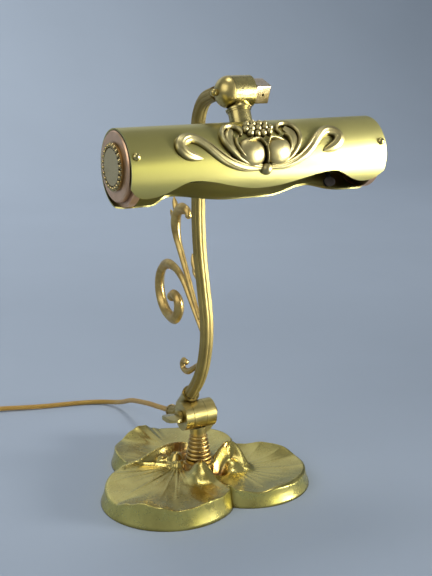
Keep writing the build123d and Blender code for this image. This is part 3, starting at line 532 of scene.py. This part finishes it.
def cord_mesh(line):
    """A round sleeve along the line, with texture coordinates in turns round and along it."""
    points = []
    for place, (side, lift) in zip(line, carried_frames(line)):
        for j in range(CORD_SIDES):
            turn = 2 * pi * j / CORD_SIDES
            points.append(place / MM + (side * cos(turn) + lift * sin(turn)) * CORD_R)
    piece = mesh_piece("cord", points, tube_faces(len(line), CORD_SIDES))
    along = [0.0]
    for a, b in zip(line, line[1:]):
        along.append(along[-1] + (b - a).length / MM)
    layer = piece.data.uv_layers.new(name="UVMap")
    for polygon in piece.data.polygons:
        rows = [i // CORD_SIDES for i in polygon.vertices]
        columns = [i % CORD_SIDES for i in polygon.vertices]
        wraps = max(columns) - min(columns) == CORD_SIDES - 1
        for loop, row, column in zip(polygon.loop_indices, rows, columns):
            turn = (column + (CORD_SIDES if wraps and column == 0 else 0)) / CORD_SIDES
            layer.data[loop].uv = (turn, along[row] / (2 * pi * CORD_R))
    return piece, along[-1] * MM


def add_cord():
    """The whole cord, from the bush along the route and round the coil to the plug."""
    last = Vector(ROUTE[-1])
    aim = (last - Vector(ROUTE[-2])).normalized()
    line = spline_line([Vector(p) for p in ROUTE] + coil_points(last, aim))
    cord, length = cord_mesh(line)
    cord.data.materials.append(cord_cloth)
    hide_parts("cord_lead", "cord_coil")
    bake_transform(cord)


add_cord()


# Base: three lily leaves cast in one piece, drawn along rays from the stem

RAYS = 720
LEAF_ROWS = 110
LIP_ROWS = 6
WALL_ROWS = 7

# Boss in the middle, and the recess of the felt below
STEM_FOOT_R = 9.0
BOSS_TOP_R = 13.8
BOSS_FOOT_R = 16.3
BOSS_Z = 21.9
FELT_INSET = 9.5
FELT_TOP = 2.1
RECESS_LEAN = 0.3

# Wall: how far it flares, how its flare begins and grows, and its small edge at the table
FLARE = 4.0
FLARE_START = 0.04
FLARE_POWER = 1.5
EDGE_INSET = 0.5
EDGE_RISE = 0.4

# Lip: its least radius, how much fuller it is about one bearing from a leaf's outermost point, and the
# share of it by which the wall starts below the rim
LIP_R = 1.4
LIP_FULLER = 3.4
LIP_FULL_AT = -40.0
LIP_FULL_SPREAD = 34.0
LIP_DROP = 0.8

# Dish and lobes: how steeply a leaf rises to its rim and how far past it, and how a lobe and its hollow fade
RIM_POWER = 3
RIM_OVERRUN = 1.1
LOBE_FALL = 2
LOBE_POWER = 2.5
HOLLOW_SHARE = 0.3

# Veins: angles between them and to the outermost, width at the root and its growth, where they rise,
# how far they run and by how much that varies from vein to vein
VEIN_STEP = 12.0
VEIN_SPREAD = 110.0
VEIN_WIDTH = 0.5
VEIN_WIDEN = 0.010
VEIN_START = 3
VEIN_FULL = 9
VEIN_LENGTH = 24
VEIN_VARIES = 10
VEIN_BEAT = 2.4

# Each leaf has its bearing, distance and radius on the table, the height of its dish, the root and rise of
# its veins, the heights of its wavy rim as (bearing from its outermost point, height), and its lobes as
# (u, v, rise, spread along u, spread along v, hollow). From the leaf's centre u points away from the stem
# and v sideways. Hollow is the share by which a lobe's middle sinks.
LEAVES = [
    dict(bearing=207.5, distance=49.6, radius=65.5, dish=14.5, root=(-40.0, -19.0), vein_rise=1.8,
         rim=[(-120, 15), (-75, 17), (-40, 15), (-18, 14), (-2, 20), (15, 25), (30, 22), (45, 18), (58, 19),
              (73, 21.5), (95, 19.5), (140, 21)],
         lobes=[(-37.5, 10.0, 10.5, 14.0, 14.0, 0.0), (-28.0, 19.5, 9.0, 15.0, 15.0, 0.0),
                (-38.5, -16.5, 10.0, 9.0, 8.0, 0.45)]),
    dict(bearing=332.4, distance=48.5, radius=62.0, dish=11.5, root=(-12.0, 4.0), vein_rise=0.5,
         rim=[(-140, 22), (-112, 22), (-99, 17), (-80, 14.5), (-60, 18), (-32, 17), (0, 16), (27, 15),
              (50, 19), (72, 18.5), (90, 15), (130, 19)],
         lobes=[(-14.5, 5.0, 8.0, 13.0, 12.0, 0.0), (-29.5, -6.0, -6.0, 10.0, 9.0, 0.0)]),
    dict(bearing=91.0, distance=54.0, radius=66.0, dish=12.5, root=(-26.0, 6.0), vein_rise=0.6,
         rim=[(-130, 20), (-95, 19), (-60, 17), (-23, 12.5), (-12, 12.5), (-3, 15), (5, 20), (13, 21),
              (22, 18.5), (39, 14), (77, 19), (100, 17), (114, 21), (130, 24)],
         lobes=[(-31.0, 13.0, 16.0, 8.5, 8.5, 0.5), (-30.0, -15.5, 14.0, 10.0, 10.0, 0.3),
                (-20.0, 23.0, 8.0, 8.0, 8.0, 0.5), (-22.0, -1.0, 9.0, 9.0, 9.0, 0.5)]),
]

# Leaf margins that curl up round the stem, as crests through (x, y, height) points
CRESTS = [
    [(13.0, -6.0, 22.0), (17.0, -4.0, 27.0), (22.0, -2.5, 31.5), (28.0, -1.2, 35.5), (34.0, -1.5, 36.5),
     (38.5, -4.0, 35.0), (41.5, -9.0, 30.0), (43.0, -15.0, 23.0), (43.5, -22.0, 14.0)],
    [(-66.0, 32.0, 18.0), (-49.0, 34.0, 20.0), (-32.0, 42.0, 21.5), (-17.0, 47.0, 23.0), (-5.0, 47.0, 24.0),
     (6.0, 43.0, 24.0), (13.0, 35.0, 22.0)],
]
CREST_STEPS = 8
CREST_INNER = 3.4
CREST_OUTER = 5.2
CREST_POWER = 2.1
crest_lines = [smooth_line(points, CREST_STEPS) for points in CRESTS]


def leaf_at(bearing):
    """The leaf that a ray from the stem crosses, and the ray's angle from the leaf's own bearing."""
    turns = [(bearing - leaf["bearing"] + 180) % 360 - 180 for leaf in LEAVES]
    nearest = min(range(len(LEAVES)), key=lambda i: abs(turns[i]))
    return LEAVES[nearest], radians(turns[nearest])


def rim_reach(distance, radius, turn):
    """How far from the stem a ray leaves a leaf's round outline."""
    return distance * cos(turn) + sqrt(max(radius ** 2 - (distance * sin(turn)) ** 2, 0))


def rim_height(stations, bearing):
    """Height of a wavy rim, eased between its listed heights and round past the stem."""
    first, last = stations[0], stations[-1]
    ends = [(last[0] - 360, last[1]), *stations, (first[0] + 360, first[1])]
    for (low, low_z), (high, high_z) in zip(ends, ends[1:]):
        if low <= bearing <= high:
            return low_z + (high_z - low_z) * smooth_step(low, high, bearing)


def vein_height(u, v, rise):
    """Fine ribs that fan out over a leaf from their root."""
    away = hypot(u, v)
    turn = degrees(atan2(v, u))
    nearest = round(max(-VEIN_SPREAD, min(VEIN_SPREAD, turn)) / VEIN_STEP)
    off = radians(turn - nearest * VEIN_STEP) * away
    width = VEIN_WIDTH + VEIN_WIDEN * away
    length = VEIN_LENGTH + VEIN_VARIES * cos(VEIN_BEAT * nearest)
    return rise * bell(off / width) * smooth_step(VEIN_START, VEIN_FULL, away) * exp(-away / length)


def crest_height(height, x, y):
    """Lift a height to the crest of a curled margin: steep on the stem's side, easy on the other."""
    for line in crest_lines:
        away, crest, side = min((hypot(x - cx, y - cy), cz, hypot(cx, cy)) for cx, cy, cz in line)
        spread = CREST_INNER if hypot(x, y) < side else CREST_OUTER
        height += max(crest - height, 0) * exp(-(away / spread) ** CREST_POWER)
    return height


def leaf_height(leaf, reach, turn):
    """Height of the casting's top, at a reach from the stem along a ray."""
    u = reach * cos(turn) - leaf["distance"]
    v = reach * sin(turn)
    out = min(hypot(u, v) / (leaf["radius"] - FLARE), RIM_OVERRUN)
    rim = rim_height(leaf["rim"], degrees(atan2(v, u)))
    height = leaf["dish"] + (rim - leaf["dish"]) * out ** RIM_POWER
    root_u, root_v = leaf["root"]
    height += vein_height(u - root_u, v - root_v, leaf["vein_rise"])
    for lobe_u, lobe_v, rise, spread_u, spread_v, hollow in leaf["lobes"]:
        away = hypot((u - lobe_u) / spread_u, (v - lobe_v) / spread_v)
        height += rise * (exp(-LOBE_FALL * away ** LOBE_POWER) - hollow * bell(away / HOLLOW_SHARE))
    heading = radians(leaf["bearing"]) + turn
    height = crest_height(height, reach * cos(heading), reach * sin(heading))
    return height + (BOSS_Z - height) * smooth_step(BOSS_FOOT_R, BOSS_TOP_R, reach)


def ray_profile(bearing):
    """Outline of the casting along one ray: dished top, round lip, flared wall and recessed underside."""
    leaf, turn = leaf_at(bearing)
    distance = leaf["distance"]
    radius = leaf["radius"]
    top = rim_reach(distance, radius - FLARE, turn)
    floor = rim_reach(distance, radius, turn)
    inset = rim_reach(distance, radius - FELT_INSET, turn)
    side = degrees(atan2(top * sin(turn), top * cos(turn) - distance))
    lip = LIP_R + LIP_FULLER * exp(-((side - LIP_FULL_AT) / LIP_FULL_SPREAD) ** 2)
    crest_reach = top - lip
    crest = leaf_height(leaf, crest_reach, turn)
    wall = top + (floor - top) * FLARE_START
    wall_top = leaf_height(leaf, top, turn) - LIP_DROP * lip
    profile = []
    for i in range(LEAF_ROWS):
        reach = STEM_FOOT_R + (crest_reach - STEM_FOOT_R) * i / LEAF_ROWS
        profile.append((reach, leaf_height(leaf, reach, turn)))
    for i in range(LIP_ROWS):
        roll = pi / 2 * i / LIP_ROWS
        reach = crest_reach + (wall - crest_reach) * sin(roll)
        profile.append((reach, wall_top + (crest - wall_top) * cos(roll)))
    for i in range(WALL_ROWS + 1):
        share = i / WALL_ROWS
        reach = wall + (floor - wall) * share ** FLARE_POWER
        profile.append((reach, wall_top * (1 - share) + EDGE_RISE * share))
    profile += [(floor - EDGE_INSET, 0.0), (inset, 0.0)]
    profile += [(inset - RECESS_LEAN, FELT_TOP), (STEM_FOOT_R, FELT_TOP)]
    return profile


def add_base():
    columns = []
    for j in range(RAYS):
        bearing = 360 * j / RAYS
        aim = Vector((cos(radians(bearing)), sin(radians(bearing)), 0))
        columns.append([aim * reach + UP * height for reach, height in ray_profile(bearing)])
    rows = len(columns[0])
    points = [column[i] for i in range(rows) for column in columns]
    base = mesh_piece("lily_base", points, turned_over(tube_faces(rows, RAYS)))
    base.data.materials.append(leaf_brass)
    base.data.materials.append(lit_wall_brass)
    first_of_wall = (LEAF_ROWS + LIP_ROWS // 2) * RAYS
    for polygon in base.data.polygons:
        polygon.material_index = 1 if polygon.index >= first_of_wall else 0
    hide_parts("base_casting")
    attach(base, "base")


add_base()


# Arm: cast scrolls in the arm's own slanted plane

# Where the plane is at the lower pivot, and how far it leans for each millimetre of rise
ARM_X_LOW = -5.26
ARM_SLOPE = -0.025788
BASE_PIVOT_Z = joints["arm_tilt"]["pos_m"][2] / MM

# Stalks: sides, ridges round them and their height, widths in and across the arm's plane, and how finely
# scrolls and small leaves are stepped
SCROLL_SIDES = 20
SCROLL_RIDGES = 4
RIDGE_SHARE = 0.08
IN_PLANE = 1.08
ACROSS_PLANE = 0.96
TRAIL_STEP = 1.4
LEAF_STEPS = 6


def on_arm(back, rise, out=0.0):
    """A point by its place in the arm's plane, measured from the lower pivot, and its distance from it."""
    return Vector((ARM_X_LOW + ARM_SLOPE * rise + out, back, BASE_PIVOT_Z + rise))


def trail(start, heading, moves, radii):
    """Places and radii along straight runs (length, 0) and tangent arcs (radius, turn)."""
    back, rise = start
    stations = [(back, rise, radii[0])]
    for (size, turn), low, high in zip(moves, radii, radii[1:]):
        length = size if turn == 0 else size * abs(radians(turn))
        count = max(2, round(length / TRAIL_STEP))
        for i in range(count):
            heading += turn / count / 2
            back += length / count * cos(radians(heading))
            rise += length / count * sin(radians(heading))
            heading += turn / count / 2
            stations.append((back, rise, low + (high - low) * (i + 1) / count))
    return stations


def stalk(stations):
    """Points and faces of a ridged stalk through (back, rise, radius) stations."""
    points = []
    for i, (back, rise, radius) in enumerate(stations):
        behind, ahead = neighbours(stations, i)
        run_back = ahead[0] - behind[0]
        run_up = ahead[1] - behind[1]
        run = hypot(run_back, run_up)
        for j in range(SCROLL_SIDES):
            turn = 2 * pi * j / SCROLL_SIDES
            swell = radius * (1 + RIDGE_SHARE * cos(SCROLL_RIDGES * turn))
            aside = IN_PLANE * swell * cos(turn) / run
            out = ACROSS_PLANE * swell * sin(turn)
            points.append(on_arm(back - run_up * aside, rise + run_back * aside, out))
    return points, tube_faces(len(stations), SCROLL_SIDES)


def ball(centre, radius, rings=10, sides=16):
    """Points and faces of a sphere."""
    points = [centre + UP * radius]
    for i in range(1, rings):
        tilt = pi * i / rings
        for j in range(sides):
            turn = 2 * pi * j / sides
            aim = Vector((sin(tilt) * cos(turn), sin(tilt) * sin(turn), cos(tilt)))
            points.append(centre + aim * radius)
    points.append(centre - UP * radius)
    end = len(points) - 1
    row = end - sides
    faces = [(0, 1 + j, 1 + (j + 1) % sides) for j in range(sides)]
    faces += [tuple(1 + k for k in face) for face in turned_over(grid_faces(rings - 1, sides))]
    faces += [(end, row + (j + 1) % sides, row + j) for j in range(sides)]
    return points, faces


def add_scroll(node, start, heading, moves, radii, bud, leaves=()):
    """A cast scroll: thin where it leaves the arm, ending in a round bud, with small leaves beside it."""
    stations = trail(start, heading, moves, radii)
    parts = [stalk(stations), ball(on_arm(*stations[-1][:2]), bud)]
    parts += [stalk(smooth_line(leaf, LEAF_STEPS)) for leaf in leaves]
    piece = mesh_piece(node + "_cast", *joined(parts))
    piece.data.materials.append(warm_brass)
    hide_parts(node)
    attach(piece, "arm")


# Small leaves as (back, rise, radius) stations
ARM_LEAVES = [
    [(-16.0, 148.0, 2.2), (-11.5, 153.0, 2.8), (-9.0, 158.5, 2.2), (-8.0, 164.0, 0.6)],
    [(-17.0, 142.0, 2.0), (-12.5, 146.0, 2.4), (-10.5, 150.0, 1.8), (-9.5, 154.0, 0.5)],
    [(20.5, 197.0, 3.2), (24.5, 203.5, 3.0), (26.8, 208.5, 2.2), (27.4, 212.5, 0.6)],
    [(24.0, 190.0, 3.2), (29.5, 193.0, 2.8), (33.5, 196.0, 1.8), (35.5, 199.0, 0.6)],
]

add_scroll("scroll_large", start=(-26.0, 88.0), heading=50,
           moves=[(52.0, 0), (44.0, -50), (27.3, -180), (16.5, -90), (8.8, -140)],
           radii=(1.8, 2.9, 4.3, 5.4, 5.0, 4.3), bud=4.9)
add_scroll("scroll_upper", start=(-19.0, 103.0), heading=58.5,
           moves=[(76.0, 0), (35.0, 31.5), (18.0, 90), (4.0, 0), (6.5, 75)],
           radii=(1.8, 3.4, 4.9, 4.8, 4.2, 3.0), bud=3.4, leaves=ARM_LEAVES)
add_scroll("scroll_small", start=(-16.0, 57.0), heading=-32,
           moves=[(24.0, 0), (22.0, 32), (5.2, 215)],
           radii=(2.2, 2.6, 2.9, 2.5), bud=2.9)


# Shade: the cast floral mount on its front

# The radius that the mount lies on, its middle along the tube, the share of its listed length that it
# takes up, and how deep it sinks in
SHADE_R = 31.8
MOUNT_X = -2.5
MOUNT_SHARE = 0.97
MOUNT_SINK = 0.3
MM_PER_DEGREE = SHADE_R * radians(1)
STROKE_STEPS = 8
STROKE_SIDES = 10
STROKE_WAVES = 3

# Directions of the tilted shade: the holder lies on its axis and the switch key points down from it
shade_up = -Vector(joints["switch_turn"]["axis"])
shade_front = Vector((1, 0, 0)).cross(shade_up)
holder_low, holder_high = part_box("holder_shell")
shade_axis = (holder_low + holder_high) / 2 / MM


def on_shade(x, tilt, rise):
    """A point by its place along the mount, its angle above the shade's front and its rise."""
    turn = radians(tilt)
    out = shade_front * cos(turn) + shade_up * sin(turn)
    middle = Vector((MOUNT_X + MOUNT_SHARE * x, shade_axis.y, shade_axis.z))
    return middle + out * (SHADE_R + rise - MOUNT_SINK)


def relief(stations, ridge=0.0):
    """A raised stroke on the shade through (x, tilt, half width, height) stations."""
    line = smooth_line(stations, STROKE_STEPS)
    points = []
    for i, (x, tilt, width, height) in enumerate(line):
        behind, ahead = neighbours(line, i)
        run_x = ahead[0] - behind[0]
        run_y = (ahead[1] - behind[1]) * MM_PER_DEGREE
        run = hypot(run_x, run_y)
        for j in range(STROKE_SIDES + 1):
            share = 2 * j / STROKE_SIDES - 1
            aside = width * share / run
            rise = height * sqrt(1 - share ** 2) * (1 + ridge * cos(STROKE_WAVES * pi * share))
            points.append(on_shade(x - run_y * aside, tilt + run_x * aside / MM_PER_DEGREE, rise))
    return points, turned_over(tube_faces(len(line), STROKE_SIDES + 1))


def dome(x, tilt, half_x, half_y, height, rings=7, sides=20):
    """A raised round boss on the shade."""
    points = []
    for i in range(rings):
        lean = pi / 2 * i / rings
        for j in range(sides):
            turn = 2 * pi * j / sides
            aside = half_x * cos(lean) * cos(turn)
            above = half_y * cos(lean) * sin(turn)
            points.append(on_shade(x + aside, tilt + above / MM_PER_DEGREE, height * sin(lean)))
    points.append(on_shade(x, tilt, height))
    top = len(points) - 1
    row = top - sides
    faces = grid_faces(rings, sides) + [tuple(range(sides))[::-1]]
    faces += [(row + j, row + (j + 1) % sides, top) for j in range(sides)]
    return points, faces


def mirrored(stations):
    return [(-s[0], *s[1:]) for s in stations]


# Strokes as (place along the tube, angle above the front, half width, height), those of the right half first
SWEEPING_ARM = [(1, -27, 2.0, 3.2), (17, -26.5, 3.0, 3.8), (29, -21, 3.4, 4.0), (39.5, -12, 3.5, 4.0),
                (47.5, -1, 3.5, 4.2), (54, 10, 3.6, 4.4), (60.5, 19, 4.0, 4.8), (67.5, 23, 4.8, 5.2),
                (74.5, 18, 5.2, 5.4), (76.5, 9, 5.4, 5.4), (72.5, 0, 5.0, 5.0), (66, -5, 3.8, 4.0),
                (58.5, -8.5, 1.0, 1.6)]
ARM_RIB = [(6, -23.5, 0.9, 3.2), (20, -20.5, 1.3, 3.8), (32, -12.5, 1.4, 4.0), (42, -1, 1.4, 4.0),
           (49.5, 10.5, 1.4, 4.0), (57, 21, 1.4, 3.8), (65, 28.5, 1.2, 3.4), (73, 27, 0.6, 2.4)]
WING = [(4, -24, 2.0, 2.6), (16, -18.5, 4.0, 2.8), (26, -7, 5.0, 3.0), (30.5, 8, 5.2, 3.2),
        (30, 23, 4.6, 3.2), (26, 33, 3.2, 2.8)]
WING_EDGE = [(3, -25, 1.2, 3.4), (14, -21.5, 1.7, 4.4), (24.5, -13, 2.0, 5.0), (32, -1, 2.2, 5.2),
             (36.5, 12, 2.2, 5.2), (36.5, 25, 2.2, 5.2), (32.5, 36, 2.2, 5.2), (26, 40.5, 2.2, 5.0),
             (20, 37, 2.0, 4.6), (17.5, 29, 1.7, 4.2), (19, 21.5, 1.0, 3.2)]
WING_RIB = [(4, -22.5, 1.0, 3.6), (13, -18, 1.3, 5.0), (21, -9, 1.5, 5.6), (25.5, 2, 1.6, 5.8),
            (26, 13, 1.5, 5.4), (22.5, 20, 0.8, 4.0)]
HOOD = [(18, 8, 0.8, 6.0), (12, 11, 1.3, 7.6), (6, 12, 1.4, 8.0), (2.4, 7, 1.2, 8.0), (0.8, 1, 0.6, 7.2)]
MIDDLE_RIB = [(0, -20, 0.8, 6.0), (0, -10, 1.0, 7.8), (0, 0, 1.1, 8.0), (0, 8, 0.6, 7.0)]

# How strongly the strokes of the right half are ridged
RIDGED = [(SWEEPING_ARM, 0.10), (ARM_RIB, 0.0), (WING, -0.06), (WING_EDGE, 0.0), (WING_RIB, 0.0), (HOOD, 0.0)]

# Bosses as (place, angle, half length, half height, rise), and berries as (place, angle, radius)
FRUIT = (12.4, -4, 13.8, 12.4, 7.6)
BUD = (0, -28.5, 5.4, 5.4, 7.6)
BERRIES = [(-9, 25, 3.4), (-3, 23, 3.2), (3, 24, 3.4), (9, 25, 3.2), (-12, 32, 3.2), (-6, 34, 3.6),
           (0.5, 33, 3.6), (7, 34, 3.4), (12, 33, 3.0), (-8, 43, 3.2), (-2, 44, 3.4), (4, 43, 3.4),
           (9.5, 42, 2.8)]
BERRY_RISE = 5.6


def add_ornament():
    parts = []
    for stroke, ridge in RIDGED:
        parts.append(relief(stroke, ridge))
        parts.append(relief(mirrored(stroke)[::-1], ridge))
    parts.append(relief(MIDDLE_RIB))
    parts += [dome(*boss) for boss in (*mirrored([FRUIT]), FRUIT, BUD)]
    parts += [dome(x, tilt, size, size, BERRY_RISE, rings=5, sides=12) for x, tilt, size in BERRIES]
    piece = mesh_piece("floral_mount", *joined(parts))
    piece.data.materials.append(cast_brass)
    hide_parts("ornament")
    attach(piece, "shade")


add_ornament()


# Finishes of the pieces that keep their solid shape

FINISHES = {
    shade_brass: ["shade_shell"],
    knuckle_brass: ["shade_knuckle", "neck_collar", "cap_screws"],
    gilt_brass: ["base_knuckle", "arm_foot", "arm_dome", "upper_bolt", "base_clamp_screw"],
    arm_brass: ["arm_tube"],
    warm_brass: ["stem_post", "cord_bushing"],
    medal_brass: ["medallion_left", "medallion_right"],
    shaded_brass: ["base_cap_nut"],
    lit_nut_brass: ["upper_clamp_nut"],
    copper_brass: ["end_cap_left", "end_cap_right"],
    bright_brass: ["holder_cap", "holder_shell", "bulb_cap", "plug_blades"],
    steel: ["stem_washer", "stem_nut", "stem_rod", "neck_nipple", "neck_locknut"],
    holder_ceramic: ["holder_insulator"],
    bulb_glass: ["bulb_glass"],
    black_gloss: ["switch_key"],
    brown_gloss: ["plug_body"],
    felt: ["base_felt"],
    tie_cloth: ["coil_tie"],
}
SOFT_EDGED = ["base_knuckle", "arm_foot", "base_clamp_screw", "upper_clamp_nut", "shade_knuckle",
              "plug_body", "stem_post", "neck_collar", "base_cap_nut"]
EDGE_WIDTH = 0.5
EDGE_SEGMENTS = 2
EDGE_ANGLE = 40

for material, names in FINISHES.items():
    for name in names:
        nodes[name].data.materials.clear()
        nodes[name].data.materials.append(material)
for name in SOFT_EDGED:
    edge = nodes[name].modifiers.new("edge", "BEVEL")
    edge.width = EDGE_WIDTH * MM
    edge.segments = EDGE_SEGMENTS
    edge.limit_method = "ANGLE"
    edge.angle_limit = radians(EDGE_ANGLE)


# Light, table and backdrop

BACKDROP = (0.38, 0.44, 0.52)
TABLE_FRONT = -6.0
TABLE_BACK = 1.6
TABLE_HALF = 6.0
BACKDROP_TOP = 3.4
CURVE_R = 1.0
CURVE_STEPS = 16
SKY_COLOUR = (0.80, 0.86, 0.93, 1)
SKY_STRENGTH = 0.34


def add_backdrop():
    """A table that turns up into a backdrop in one sweep."""
    profile = [(TABLE_FRONT, 0.0)]
    for i in range(CURVE_STEPS + 1):
        turn = pi / 2 * i / CURVE_STEPS
        profile.append((TABLE_BACK + CURVE_R * sin(turn), CURVE_R * (1 - cos(turn))))
    profile.append((TABLE_BACK + CURVE_R, BACKDROP_TOP))
    points = [Vector((x, y, z)) / MM for y, z in profile for x in (-TABLE_HALF, TABLE_HALF)]
    backdrop = mesh_piece("backdrop", points, grid_faces(len(profile), 2, closed=False))
    backdrop.data.materials.append(backdrop_paint("backdrop", BACKDROP))


def add_light(name, at, aim, size, power, colour=(1, 1, 1), spread=180):
    """A rectangular light of a (width, height) size."""
    light = bpy.data.lights.new(name, "AREA")
    light.shape = "RECTANGLE"
    light.size, light.size_y = size
    light.energy = power
    light.color = colour
    light.spread = radians(spread)
    lamp = bpy.data.objects.new(name, light)
    lamp.location = at
    lamp.rotation_euler = aimed(at, aim)
    bpy.context.collection.objects.link(lamp)


def add_sky():
    world = bpy.data.worlds.new("studio")
    world.use_nodes = True
    sky = world.node_tree.nodes["Background"]
    sky.inputs["Color"].default_value = SKY_COLOUR
    sky.inputs["Strength"].default_value = SKY_STRENGTH
    bpy.context.scene.world = world


add_backdrop()
add_light("overhead", at=(0.0, 0.2, 2.8), aim=(0, 0.2, 0), size=(0.9, 0.9), power=16)
add_light("left_window", at=(-2.0, -0.5, 1.5), aim=(0, 0.1, 0.2), size=(1.8, 1.6), power=18)
add_light("front_window", at=(1.15, -2.5, 0.5), aim=(0, 0, 0.3), size=(0.7, 0.9), power=4.5,
          colour=(0.96, 1, 0.58))
add_light("front_card", at=(0.22, -0.58, 0.08), aim=(-0.05, -0.1, 0.3), size=(0.3, 0.3), power=0.09,
          colour=(1, 1, 0.75), spread=90)
add_light("right_card", at=(0.87, -0.77, 0.50), aim=(0.06, -0.1, 0.50), size=(0.60, 0.70), power=6, spread=36)
add_light("low_card", at=(0.40, -0.47, 0.05), aim=(0.07, -0.11, 0.34), size=(0.30, 0.34), power=0.12,
          spread=26)
add_light("back_card", at=(0.2, 2.2, 1.6), aim=(0, 0, 0.2), size=(3.0, 1.2), power=5)
add_light("backdrop_wash", at=(-1.0, 1.0, 2.6), aim=(0.0, 2.6, 0.6), size=(2.4, 0.6), power=20, spread=110)
add_sky()
bpy.context.scene.view_settings.view_transform = "Standard"
